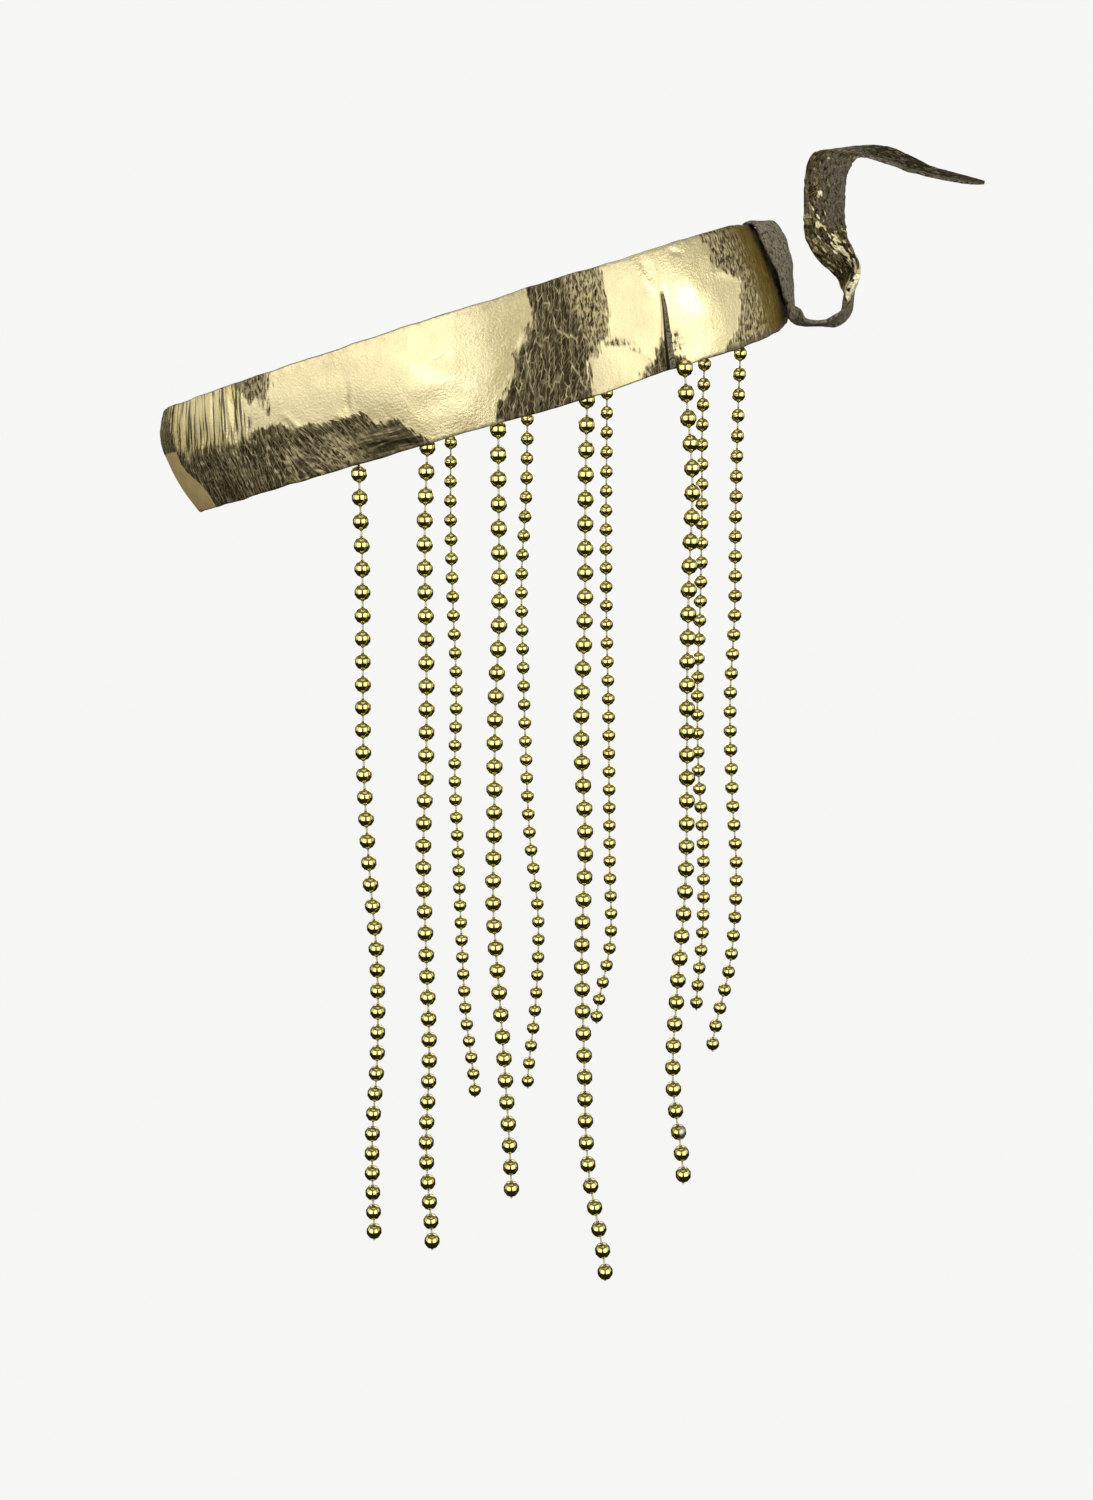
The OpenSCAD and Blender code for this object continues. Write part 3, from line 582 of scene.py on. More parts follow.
def scaled(tree, vector, by):
    """The vector with each of its parts multiplied."""
    return add_node(tree, "VectorMath", {0: vector, 1: by}, operation="MULTIPLY").outputs[0]


def rotated(tree, vector, angle):
    """The vector turned in the plane of the surface."""
    return add_node(tree, "VectorRotate", {"Vector": vector, "Angle": angle},
                    rotation_type="Z_AXIS").outputs[0]


def bump(tree, height, distance, strength):
    """Fine relief in the shading, as deep as the distance where the height goes from 0 to 1."""
    return add_node(tree, "Bump", {"Height": height, "Distance": distance, "Strength": strength}).outputs[0]


def uv_place(tree, name):
    """The place on the unrolled surface, in metres."""
    return add_node(tree, "UVMap", uv_map=name).outputs[0]


def point_values(tree, names):
    """The values that the mesh carries at its points, by name."""
    return {name: add_node(tree, "Attribute", attribute_name=name).outputs["Fac"] for name in names}


def placed(tree, group, inputs):
    """The outputs of a shared node group with the given inputs."""
    return add_node(tree, "Group", inputs, node_tree=group).outputs


def surface(tree, output, inputs):
    """The Principled shader of a material, with the given inputs."""
    shader = add_node(tree, "BsdfPrincipled", inputs)
    tree.links.new(shader.outputs[0], output.inputs[0])


def new_group(name, inputs, outputs):
    """An empty node group with named inputs, each with its kind and first value, and named outputs."""
    group = bpy.data.node_groups.new(name, "ShaderNodeTree")
    for label, kind, value in inputs:
        socket = group.interface.new_socket(label, in_out="INPUT", socket_type="NodeSocket" + kind)
        if value is not None:
            socket.default_value = value
    for label, kind in outputs:
        group.interface.new_socket(label, in_out="OUTPUT", socket_type="NodeSocket" + kind)
    return group, group.nodes.new("NodeGroupInput"), group.nodes.new("NodeGroupOutput")


def new_material(name):
    """An empty material, its node tree, and its output node."""
    material = bpy.data.materials.new(name)
    material.use_nodes = True
    material.node_tree.nodes.clear()
    return material, material.node_tree, add_node(material.node_tree, "OutputMaterial")


# Crazing of the foil: the borders between long cells, which wander, lean and are stronger in some spots
crazing, given, result = new_group(
    "crazing", [("Vector", "Vector", None), ("Scale", "Float", 450.0), ("Stretch", "Float", 0.4),
                ("Lean", "Float", 0.0), ("Width", "Float", 0.1)], [("Lines", "Float")])
wander = add_node(crazing, "TexNoise", {"Vector": given.outputs["Vector"], "Scale": 330, "Detail": 2})
moved = add_node(crazing, "VectorMath", {0: wander.outputs["Color"], 1: (0.0022, 0.0022, 0),
                                         2: given.outputs["Vector"]}, operation="MULTIPLY_ADD").outputs[0]
apart = add_node(crazing, "SeparateXYZ", {0: moved})
leant = times_plus(crazing, given.outputs["Lean"], apart.outputs["Y"], apart.outputs["X"])
drawn = add_node(crazing, "CombineXYZ", {
    "X": leant, "Y": times(crazing, apart.outputs["Y"], given.outputs["Stretch"])})
cells = add_node(crazing, "TexVoronoi", {
    "Vector": drawn.outputs[0], "Scale": given.outputs["Scale"], "Randomness": 1.0},
    feature="DISTANCE_TO_EDGE", voronoi_dimensions="2D")
lines = spread(crazing, cells.outputs["Distance"], 0, given.outputs["Width"], 1, 0)
strength = noise_between(crazing, given.outputs["Vector"], 380, 0.1, 1.3, 2)
crazing.links.new(times(crazing, lines, strength), result.inputs["Lines"])

# Hair lines: contour lines of long noise, fainter and stronger in turns
hair, given, result = new_group(
    "hair", [("Vector", "Vector", None), ("Scale", "Float", 600.0), ("Stretch", "Float", 0.12),
             ("Width", "Float", 0.2)], [("Lines", "Float")])
apart = add_node(hair, "SeparateXYZ", {0: given.outputs["Vector"]})
drawn = add_node(hair, "CombineXYZ", {
    "X": apart.outputs["X"], "Y": times(hair, apart.outputs["Y"], given.outputs["Stretch"])})
hills = noise(hair, drawn.outputs[0], given.outputs["Scale"], 3)
levels = calculate(hair, "FRACT", times(hair, hills, 5.0))
off = calculate(hair, "ABSOLUTE", calculate(hair, "SUBTRACT", levels, 0.5))
lines = spread(hair, off, 0, given.outputs["Width"], 1, 0)
strength = noise_between(hair, given.outputs["Vector"], 420, 0.1, 1.1)
hair.links.new(times(hair, lines, strength), result.inputs["Lines"])

# Nap of the suede: short fibres in soft tufts, lighter and darker, and a fine grain for the bump
nap, given, result = new_group("nap", [("Vector", "Vector", None)], [("Shade", "Float"), ("Grain", "Float")])
tufts = noise_between(nap, given.outputs["Vector"], 420, 0, 1, 5)
spots = noise_between(nap, given.outputs["Vector"], 1500, 0, 1, 3)
fibres = noise_between(nap, given.outputs["Vector"], 3200, 0, 1, 2)
shade = times_plus(nap, tufts, 0.45, times(nap, spots, 0.55))
nap.links.new(shade, result.inputs["Shade"])
nap.links.new(times_plus(nap, fibres, 0.4, shade), result.inputs["Grain"])

foil_leather, tree, output = new_material("foil_leather")
unrolled = uv_place(tree, "unrolled")
grain = uv_place(tree, "grain")
read = point_values(tree, layers)
combed = scaled(tree, grain, (1, 0.35, 1))
stripes = scaled(tree, grain, (1, 0.05, 1))
fringe = scaled(tree, grain, (1, 0.18, 1))
jagged = calculate(tree, "ADD", noise_between(tree, combed, 420, -0.8, 0.8, 3),
                   noise_between(tree, fringe, 1300, -1.0, 1.0, 3))
tattered = calculate(tree, "ADD", read["dark"], jagged)
opening = spread(tree, tattered, -0.8, 2.2, 0.3, 0.075)
web = placed(tree, crazing, {"Vector": grain, "Scale": 500, "Stretch": 0.19, "Width": opening})[0]
small_web = placed(tree, crazing, {
    "Vector": grain, "Scale": 760, "Stretch": 0.3, "Lean": -0.35, "Width": 0.09})[0]
hairs = placed(tree, hair, {"Vector": grain, "Scale": 450, "Stretch": 0.13, "Width": 0.2})[0]
sideways = rotated(tree, grain, 1.6)
level_lines = placed(tree, hair, {"Vector": sideways, "Scale": 330, "Stretch": 0.1, "Width": 0.3})[0]
# Share of the crackled patches, whose near-black colour is a painted dark reflection
deep = spread(tree, tattered, -0.6, 0.6, kind="SMOOTHSTEP")
worn = spread(tree, times_plus(tree, jagged, 0.12, read["tan"]), -0.25, 0.25)
gold = blend(tree, noise_between(tree, unrolled, 40, 0, 1, 4), (0.80, 0.69, 0.37, 1), (0.73, 0.615, 0.32, 1))
gold = blend(tree, noise_between(tree, combed, 500, -0.25, 0.25, 2), gold, (0.62, 0.51, 0.25, 1))
scratched = times(tree, small_web, noise_between(tree, unrolled, 90, -0.7, 0.4))
gold = blend(tree, scratched, gold, (0.40, 0.31, 0.13, 1))
# Crackled foil: a near-black base, a painted dark reflection, under lighter lines of the crazing
crazed = blend(tree, noise_between(tree, combed, 900, 0, 1, 4),
               (0.008, 0.006, 0.002, 1), (0.046, 0.034, 0.013, 1))
crazed = blend(tree, noise_between(tree, unrolled, 110, -0.5, 0.5, 2), crazed, (0.07, 0.052, 0.022, 1))
streaked = calculate(tree, "MAXIMUM", times(tree, small_web, 0.45),
                     times(tree, hairs, times_plus(tree, read["net"], -0.55, 1.0)))
ridges = times(tree, web, times_plus(tree, read["net"], 0.7, 0.3))
ridges = calculate(tree, "MAXIMUM", ridges, streaked)
upright = calculate(tree, "SUBTRACT", 1.0, read["level"])
ridges = times_plus(tree, ridges, upright, times(tree, level_lines, times(tree, read["level"], 0.6)))
crazed = blend(tree, ridges, crazed, (0.56, 0.465, 0.25, 1))
freckles = spread(tree, noise(tree, combed, 1400, 4), 0.47, 0.56)
crazed = blend(tree, times(tree, freckles, times(tree, read["mottle"], 0.75)), crazed, (0.60, 0.50, 0.26, 1))
skin = blend(tree, deep, gold, crazed)
# More of the stripes are bright away from the brow and towards the upper edge: painted light
strip = times_plus(tree, read["lit"], 0.06, noise(tree, stripes, 950, 3))
strip = spread(tree, strip, 0.48, 0.535)
striped = blend(tree, strip, (0.075, 0.054, 0.02, 1), (0.84, 0.70, 0.33, 1))
ragged_zone = spread(tree, times_plus(tree, jagged, 0.22, read["streak"]), 0.3, 0.7)
skin = blend(tree, ragged_zone, skin, striped)
# The band's end behind the strap is painted dark greenish gold, painted shade, and near-black right beside
# the strap, a painted shadow
olive = blend(tree, noise_between(tree, combed, 300, 0, 1, 3),
              (0.14, 0.088, 0.006, 1), (0.19, 0.128, 0.014, 1))
olive = blend(tree, read["sooty"], olive, (0.012, 0.008, 0.002, 1))
skin = blend(tree, times(tree, read["olive"], noise_between(tree, unrolled, 120, 0.75, 1.0)), skin, olive)
bare = blend(tree, noise_between(tree, unrolled, 240, 0, 1, 5),
             (0.50, 0.375, 0.165, 1), (0.43, 0.315, 0.135, 1))
skin = blend(tree, worn, skin, bare)
rubbed = times(tree, read["edge"], noise_between(tree, unrolled, 420, -0.25, 0.4, 3))
skin = blend(tree, rubbed, skin, (0.17, 0.135, 0.085, 1))
# The dart's flanks are painted near-black: painted shade
skin = blend(tree, read["fin"], skin, (0.022, 0.016, 0.007, 1))
lip = times(tree, read["lip"], noise_between(tree, unrolled, 700, 0.3, 1.2, 3))
skin = blend(tree, lip, skin, (0.13, 0.105, 0.075, 1))
rough = spread(tree, deep, 0, 1, 0.34, 0.48)
rough = calculate(tree, "ADD", rough, noise_between(tree, unrolled, 180, -0.05, 0.06, 3))
rough = times_plus(tree, worn, 0.25, rough)
metal = spread(tree, worn, 0, 1, 0.62, 0.25)
specks = noise_between(tree, unrolled, 1300, 0, 0.4, 3)
high = times_plus(tree, times(tree, ridges, deep), 1.0, specks)
high = times_plus(tree, noise_between(tree, combed, 240, 0, 1, 3), 0.45, high)
bumped = bump(tree, high, 0.0002, 0.6)
covered = calculate(tree, "MAXIMUM", calculate(tree, "MAXIMUM", deep, worn), read["olive"])
shine = spread(tree, covered, 0, 1, 0.9, 0.0)
surface(tree, output, {
    "Base Color": skin, "Roughness": rough, "Metallic": metal, "Normal": bumped,
    "Specular Tint": (0.92, 0.8, 0.55, 1), "Coat Weight": shine, "Coat Roughness": 0.15})

suede, tree, output = new_material("suede")
unrolled = uv_place(tree, "unrolled")
pile = placed(tree, nap, {"Vector": unrolled})
hide = blend(tree, pile["Shade"], (0.07, 0.058, 0.036, 1), (0.37, 0.32, 0.215, 1))
hide = blend(tree, noise_between(tree, unrolled, 60, -0.2, 0.6, 4), hide, (0.135, 0.112, 0.074, 1))
flecks = spread(tree, noise(tree, unrolled, 850, 3), 0.53, 0.58)
hide = blend(tree, times(tree, flecks, 0.85), hide, (0.036, 0.027, 0.016, 1))
bumped = bump(tree, pile["Grain"], 0.0003, 0.7)
surface(tree, output, {
    "Base Color": hide, "Roughness": 0.92, "Normal": bumped, "Sheen Weight": 0.05, "Sheen Roughness": 0.5,
    "Specular IOR Level": 0.15})

add_piece("foil_band", points.reshape(-1, 3), faces.reshape(-1, 4), ["band"],
          [foil_leather, suede], kinds.ravel(), uv.reshape(-1, 2), layers, grain_loop.reshape(-1, 2))

# The tie strap. It is a narrow tail of the same leather, glued inside the band behind the right ear. It
# comes over the upper edge, is pinched at the nape, loops under and up, folds sharply and ends in a point.
STRAP_WIDTH, STRAP_THICK = 14.0, 1.4
STRAP_HOME_STATION = 11.0
FROM_WALL = LEATHER / 2 + 0.3 + STRAP_THICK / 2
# Rows inside the band: station, height, distance from the middle of the wall, share of width, of thickness
INSIDE_ROWS = np.array([
    [10.75, 0.08, -FROM_WALL - 0.8, 0.6, 1], [10.75, 0.3, -FROM_WALL - 0.8, 0.75, 1],
    [10.72, 0.6, -FROM_WALL - 0.8, 0.85, 1], [10.7, 0.88, -FROM_WALL - 0.9, 0.95, 1],
    [10.7, 0.96, -FROM_WALL - 0.9, 0.9, 1], [10.7, 1.03, -FROM_WALL * 0.8, 0.9, 1]])
# Rows from there to the tip: x, y, z from the strap's home on the band, width, share of thickness, and
# where the suede side looks
STRAP_ROWS = np.array([
    [-10.3, -5.6, 15.2, 14, 1, 0.2, -0.12, 1], [-6.9, -7.2, 14.7, 15, 1, 0.62, -0.5, 0.6],
    [-4.3, -8.3, 10.2, 15, 1, 0.75, -0.6, 0.3], [-2.5, -8.4, 6.0, 14.5, 1, 0.8, -0.55, 0.2],
    [-0.4, -7.8, 1.9, 14, 1, 0.85, -0.48, 0.15], [0.6, -6.7, -2.3, 14, 1, 0.9, -0.4, 0.1],
    [1.6, -5.1, -6.4, 11.4, 1, 0.92, -0.38, 0], [2.2, -4.4, -9.2, 8, 1.1, 0.92, -0.38, 0],
    [2.9, -4.5, -11.9, 5.4, 1.3, 0.8, -0.4, -0.4], [5.4, -4.1, -15.2, 5, 1.3, 0.2, -0.25, -0.95],
    [8, -3.1, -16.1, 5.5, 1.2, 0, -0.15, -1], [12.3, -1.6, -16.1, 7, 1, 0, -0.15, -1],
    [15.9, 0.4, -15.3, 8, 1, 0.35, -0.2, -0.9], [20, 2.4, -14.1, 9, 1, 0.8, -0.35, -0.6],
    [22.5, 4.4, -10.6, 10, 1.6, 0.95, -0.45, -0.2], [23.5, 5.9, -5.7, 10, 2.5, 1, -0.15, 0],
    [23.7, 6.9, -1.9, 9.5, 2.8, 0.9, 0.35, 0], [23.2, 7.9, 1.4, 9.6, 1.8, 0.6, 0.75, 0.1],
    [20.9, 9.4, 5.1, 10.6, 1, 0.25, 1, 0.2], [17.7, 10.9, 9.6, 12.6, 1, 0, 1, 0],
    [15.8, 11.9, 14.3, 14, 1, 0, 1, 0], [15.4, 12.4, 18.2, 13.8, 1, 0, 1, 0],
    [15.2, 12.9, 22.8, 13.8, 1, 0, 1, 0], [15.2, 13.4, 28, 14, 1, 0, 1, 0],
    [15.6, 13.9, 32.7, 14, 1, 0, 1, -0.1], [16.9, 15.4, 36.5, 14, 1, 0, 0.8, -0.5],
    [20.1, 17.9, 39.3, 13.5, 1, 0, 0.5, -0.85], [24.5, 19.9, 40.9, 11.8, 1, 0, 0.35, -0.9],
    [29.4, 20.9, 41.4, 10.3, 1, 0, 0.45, -0.85], [34.9, 21.4, 40.8, 10.3, 1, 0, 0.55, -0.76],
    [40.2, 21.9, 39.6, 10.3, 1, 0, 0.6, -0.7], [44.6, 22.9, 38, 9.4, 1, 0, 0.6, -0.7],
    [48.6, 22.9, 36.6, 7.4, 1, 0, 0.6, -0.7], [52.6, 22.9, 35.2, 5.9, 1, 0, 0.6, -0.7],
    [57.7, 22.9, 34, 5.1, 1, 0, 0.6, -0.7], [63.5, 22.9, 32.8, 4.1, 1, 0, 0.6, -0.7],
    [68, 22.9, 32, 2.7, 0.9, 0, 0.6, -0.7], [71.2, 22.9, 31.6, 1.2, 0.7, 0, 0.6, -0.7]])
STRAP_STEPS = 14
# The crest, where glints are painted as painted highlights on the foil side: run along the strap, and how
# far it lies from the middle, from -1 at the edge towards the nape to 1 at the other
CREST_RUNS = [96, 104, 112, 118, 124, 130, 140, 150]
CREST_PLACES = [0.95, 0.85, 0.5, 0.1, -0.3, -0.35, -0.2, 0.1]
# Where the foil side turns round the outer edge at the neck, by run along the strap
FOIL_EDGE_RUN = (89, 109)
STRAP_SIDES = 44


def open_curve(rows, f):
    """A table read smoothly at places f from 0 to 1: a Catmull-Rom curve through its rows, with the first
    and the last row used twice."""
    last = len(rows) - 1
    i = np.clip(np.floor(f * last).astype(int), 0, last - 1)
    t = f * last - i
    near = [rows[np.clip(i + step, 0, last)] for step in (-1, 0, 1, 2)]
    return curve_between(*near, t.reshape(t.shape + (1,) * (rows.ndim - 1)))


def unit(a):
    """Each vector divided by its length."""
    return a / np.linalg.norm(a, axis=-1, keepdims=True)


inside_u, inside_v = INSIDE_ROWS[:, 0], INSIDE_ROWS[:, 1]
inside = band_surface(inside_u, inside_v, INSIDE_ROWS[:, 2] - LEATHER / 2) / MM
wall_middle = band_surface(inside_u, np.minimum(inside_v, 0.97), np.full(6, -LEATHER / 2)) / MM
first_rows = np.concatenate([inside, STRAP_WIDTH * INSIDE_ROWS[:, 3:4], INSIDE_ROWS[:, 4:5],
                             unit(inside - wall_middle)], -1)
home = band_surface(np.array(STRAP_HOME_STATION), np.array(0.5), np.array(0.0)) / MM
last_rows = STRAP_ROWS + np.concatenate([home, np.zeros(5)])
strap_rows = np.concatenate([first_rows, last_rows])

f = np.linspace(0, 1, (len(strap_rows) - 1) * STRAP_STEPS + 1)
rows = open_curve(strap_rows, f)
middle = rows[:, :3]
way = unit(open_curve(strap_rows, np.minimum(f + 0.004, 1))[:, :3]
           - open_curve(strap_rows, np.maximum(f - 0.004, 0))[:, :3])
look = rows[:, 5:8] - way * np.sum(rows[:, 5:8] * way, -1, keepdims=True)
look = unit(look)
side = np.cross(way, look)
run = lengths_along(middle)

# The strap's section is a flat rounded bar: cosine and sine of the angle, each raised to a low power
angle = circle_angles(STRAP_SIDES) + math.pi / STRAP_SIDES
wide = np.sign(np.cos(angle)) * np.abs(np.cos(angle)) ** 0.6
deep_in = np.sign(np.sin(angle)) * np.abs(np.sin(angle)) ** 0.35
run_grid, wide_grid = np.meshgrid(run, wide, indexing="ij")
across = wide_grid * rows[:, 3:4] / 2
half = STRAP_THICK * rows[:, 4:5] / 2 * deep_in
flat_part = ramp(run_grid - 62, 12) * ramp(run[-1] - 6 - run_grid, 20)
crumple = 0.3 * soft_noise(run_grid / 3.6, across / 2.8, 71)
crumple += 0.4 * soft_noise(run_grid / 1.5, across / 1.2, 72)
crumple += 0.35 * crease_net(run_grid, across, 2.6, 1.7, 0.5, 0.22, 73)
crest_line = np.interp(run_grid, CREST_RUNS, CREST_PLACES)
ridge = 0.5 * np.exp(-((wide_grid + crest_line) / 0.16) ** 2)
crumple *= 0.15 + 0.12 * flat_part
crumple -= ridge * np.interp(run_grid, [94, 100, 122, 132], [0, 1, 1, 0])
nibble = 1 + 0.03 * soft_noise(run_grid / 1.3, wide_grid * 0.5 + 5, 74)
nibble += 0.04 * soft_noise(run_grid / 5, wide_grid * 0.5, 75)
ends = ramp(np.minimum(run_grid, run[-1] - run_grid), 2)
strap_points = (middle[:, None] + side[:, None] * (across * nibble)[..., None]
                + look[:, None] * (half + crumple * ends * 0.6)[..., None]) * MM
tips = np.stack([strap_points[0].mean(0), strap_points[-1].mean(0)])
all_points = np.concatenate([strap_points.reshape(-1, 3), tips])
faces, i, j = grid_faces(len(f), STRAP_SIDES, False)
faces = faces[..., ::-1]
bar = np.stack([wide * STRAP_WIDTH / 2, deep_in * STRAP_THICK / 2], -1)
turn_length = lengths_along(np.append(bar, bar[:1], 0))
uv = corner_pairs(run, turn_length, i, j)[..., ::-1, :]
suede_side = (np.sin(angle) > 0) | (np.abs(wide) > 0.965)
kinds = np.where(suede_side[j] & suede_side[(j + 1) % STRAP_SIDES], 1, 0)
at_neck = (run[i] > FOIL_EDGE_RUN[0]) & (run[i] < FOIL_EDGE_RUN[1])
kinds[(np.sin(angle)[j] > 0) & (wide[j] < -0.5) & at_neck] = 0
count = len(f) * STRAP_SIDES
ring = np.arange(0, STRAP_SIDES, 2)
cap = np.stack([ring, ring + 1, (ring + 2) % STRAP_SIDES, np.full(len(ring), count)], -1)
end_cap = np.stack([np.full(len(ring), count + 1), (ring + 2) % STRAP_SIDES + count - STRAP_SIDES,
                    ring + 1 + count - STRAP_SIDES, ring + count - STRAP_SIDES], -1)
faces = np.concatenate([faces.reshape(-1, 4), cap, end_cap])
uv = np.concatenate([uv.reshape(-1, 2), np.zeros((8 * len(ring), 2))]) * MM
kinds = np.concatenate([kinds.ravel(), np.ones(2 * len(ring), int)])
# How far the foil has worn off, by run along the strap, and the crest where glints are painted as
# painted highlights: it crosses the upright part from its outer edge at the bottom to its middle at the top
worn_off = np.interp(run_grid, [80, 98, 103, 119, 125, 148, 156, 195, 203],
                     [0.95, 0.6, 0.12, 0.1, 0.72, 0.8, 0.02, 0.1, 0.5])
torn_lip = ramp(-wide_grid - 0.72, 0.1) * ramp(run_grid - 154, 4)
crest = np.exp(-((wide_grid + crest_line) / 0.24) ** 2)
crest = crest * np.interp(run_grid, [94, 99, 120, 126, 150, 156], [0, 1, 1, 0.3, 0.15, 0])
worn_off -= 0.4 * ramp(wide_grid + 0.1, 0.5) * np.interp(run_grid, [116, 122, 148, 154], [0, 1, 1, 0])
# At the neck a bright strip is painted along the outer edge of the foil: a painted highlight
edge_highlight = (np.sin(angle)[None] > 0) * ramp(-0.5 - wide_grid, 0.2) * np.interp(
    run_grid, [92, 96, 106, 110], [0, 1, 1, 0])
crest = np.maximum(crest, 1.1 * edge_highlight)
strap_layers = {
    # The foil is kept, not worn off, where glints and the edge highlight are painted
    "worn_off": np.append((worn_off - 0.55 * crest - edge_highlight + torn_lip).ravel(), [1, 1]),
    "crest": np.append(crest.ravel(), [0, 0]),
    # The level end of the tail: painted shade
    "tarnish": np.append(ramp(run_grid - 150, 8).ravel(), [1, 1])}

worn_foil, tree, output = new_material("worn_foil")
unrolled = uv_place(tree, "unrolled")
read = point_values(tree, strap_layers)
lines = placed(tree, crazing, {
    "Vector": unrolled, "Scale": 700, "Stretch": 0.8, "Lean": 0.5, "Width": 0.14})[0]
pile = placed(tree, nap, {"Vector": unrolled})
long_way = scaled(tree, unrolled, (0.45, 1, 1))
slanting = scaled(tree, rotated(tree, unrolled, -0.28), (0.42, 1, 1))
shards = add_node(tree, "TexVoronoi", {"Vector": slanting, "Scale": 1300, "Randomness": 1.0},
                  voronoi_dimensions="2D")
between = add_node(tree, "TexVoronoi", {"Vector": slanting, "Scale": 1300, "Randomness": 1.0},
                   feature="DISTANCE_TO_EDGE", voronoi_dimensions="2D")
# Darker in the creases between the shards: painted shade
crease_shade = spread(tree, between.outputs["Distance"], 0.02, 0.11, 1.0, 0.0)
crease_shade = times(tree, crease_shade, times_plus(tree, read["crest"], -0.45, 0.9))
glint, tilt, _ = add_node(tree, "SeparateColor", {0: shards.outputs["Color"]}).outputs
# Crinkled foil: a near-black base, a painted dark reflection, with a few bright shards, painted glints
dark_foil = blend(tree, calculate(tree, "POWER", glint, 3.0),
                  (0.014, 0.010, 0.004, 1), (0.44, 0.36, 0.17, 1))
# The level end of the tail is painted darker, with a lighter speckle: painted shade
shaded_tail_end_foil = blend(tree, calculate(tree, "POWER", glint, 3.0),
                  (0.006, 0.0045, 0.0015, 1), (0.26, 0.215, 0.12, 1))
dark_foil = blend(tree, read["tarnish"], dark_foil, shaded_tail_end_foil)
# Glints lit along the crest: painted highlights
glint_at = calculate(tree, "SUBTRACT", glint, times_plus(tree, read["crest"], -0.8, 1.0))
lit = spread(tree, glint_at, 0.0, 0.06)
crinkled = blend(tree, times(tree, lines, times_plus(tree, read["tarnish"], -0.35, 0.5)),
                 dark_foil, (0.34, 0.27, 0.13, 1))
crinkled = blend(tree, lit, crinkled, blend(tree, tilt, (0.72, 0.60, 0.30, 1), (1.0, 0.92, 0.62, 1)))
crinkled = blend(tree, crease_shade, crinkled, (0.02, 0.015, 0.006, 1))
hide = blend(tree, pile["Shade"], (0.06, 0.048, 0.034, 1), (0.21, 0.178, 0.13, 1))
fibres = spread(tree, noise(tree, long_way, 1400, 3), 0.5, 0.6)
hide = blend(tree, times(tree, fibres, 0.75), hide, (0.03, 0.022, 0.013, 1))
gone = calculate(tree, "ADD", read["worn_off"], noise_between(tree, long_way, 700, -0.4, 0.4, 3))
gone = spread(tree, gone, 0.4, 0.6)
skin = blend(tree, gone, crinkled, hide)
metal = times_plus(tree, gone, -0.65, 0.75)
metal = times(tree, metal, times_plus(tree, read["tarnish"], -0.6, 1.0))
# The glints are made less metallic so they stay bright whatever they face: painted highlights
metal = times(tree, metal, times_plus(tree, lit, -0.6, 1.0))
rough = times_plus(tree, gone, 0.5, noise_between(tree, unrolled, 300, 0.25, 0.42, 2))
rough = times_plus(tree, read["tarnish"], 0.12, rough)
high = times_plus(tree, glint, 0.8, noise_between(tree, unrolled, 900, 0, 0.6, 3))
bumped = bump(tree, high, 0.0005, 0.7)
surface(tree, output, {
    "Base Color": skin, "Roughness": rough, "Metallic": metal, "Normal": bumped, "Specular IOR Level": 0.2,
    "Specular Tint": (0.9, 0.75, 0.45, 1)})

add_piece("tail_strap", all_points, faces, ["tie_strap"], [worn_foil, suede], kinds, uv,
          strap_layers)

# The bead strings. Round beads of hollow gilt plastic, each with a seam and a small spout at both ends,
# are moulded onto a pale thread at even steps. Each string is glued to the band's inner face at its top.
BEAD_PITCH = 7.6
THREAD_RADIUS, THREAD_END = 0.32, 0.42
BEAD_SIDES, THREAD_SIDES = 12, 6
# Each string: x and y of the top bead, its height above the sloping middle plane, number of beads, how
# much longer than plumb it hangs at its end, how far the top bead stands out sideways, its sideways place
# at each eighth of its length, then the station and height where its thread enters the band
STRINGS = {
    "near_1": (-37, -54.9, -14.6, 37, -2.8, 0, (0, 0.5, 0, -0.5, 0.5, 2.5, 2, -0.5, -0.5), 4.1, 0.2),
    "near_2": (-13.9, -64.9, -12.9, 38, -3.3, 0, (0, -1.5, -1.5, -2, -3.5, -3, -2.5, -4, -2.5), 5.0, 0.22),
    "near_3": (8.3, -71.5, -14.1, 35, 2.3, 0, (0, 0, 0, -1.5, -2, -2.5, -0.5, 1.5, 3), 5.8, 0.2),
    "near_4": (35.8, -71.8, -13.4, 40, 3.9, 0, (0, -0.5, -0.5, -1.5, 0, -1, 0, 1.5, 7.5), 6.9, 0.22),
    "near_5": (65.7, -69.5, -20.5, 36, 1.4, -2, (0, 3, 2.5, 2.5, 3, 3, 1, 0, 4), 8.2, 0.0),
    "far_1": (-14.3, 69.7, -13.7, 38, -2.5, 0, (0, -0.5, 0, 1, 0, 1, 2, 3.5, 7), 19.0, 0.2),
    "far_2": (15.7, 73.3, -13.9, 38, 3.7, 0, (0, -0.5, -2.5, -2, -1, 0.5, 4, 3, -0.5), 18.0, 0.2),
    "far_3": (46.9, 71.6, -13.2, 36, -0.8, 0, (0, 0, 0, 0.5, 1.5, 2, 2.5, 3, -2.5), 16.9, 0.2),
    "far_4": (83.9, 60.4, -13.7, 36, -0.3, 0, (0, -0.5, 0, 0, -0.5, 0.5, 3, 3.5, 1.5), 15.3, 0.2),
    "far_5": (96.2, 48.1, -13.9, 38, 1.3, 0, (0, -0.5, -0.5, 0, -1, 0.5, 3, 1.5, -5), 14.4, 0.2)}
# The bead's outline from spout to spout: distance from the thread's line, and height
BEAD_OUTLINE = np.array([
    [0.34, 2.95], [0.62, 2.6], [1.76, 2.08], [2.62, 0.79], [2.62, -0.79], [1.76, -2.08], [0.62, -2.6],
    [0.34, -2.95]])


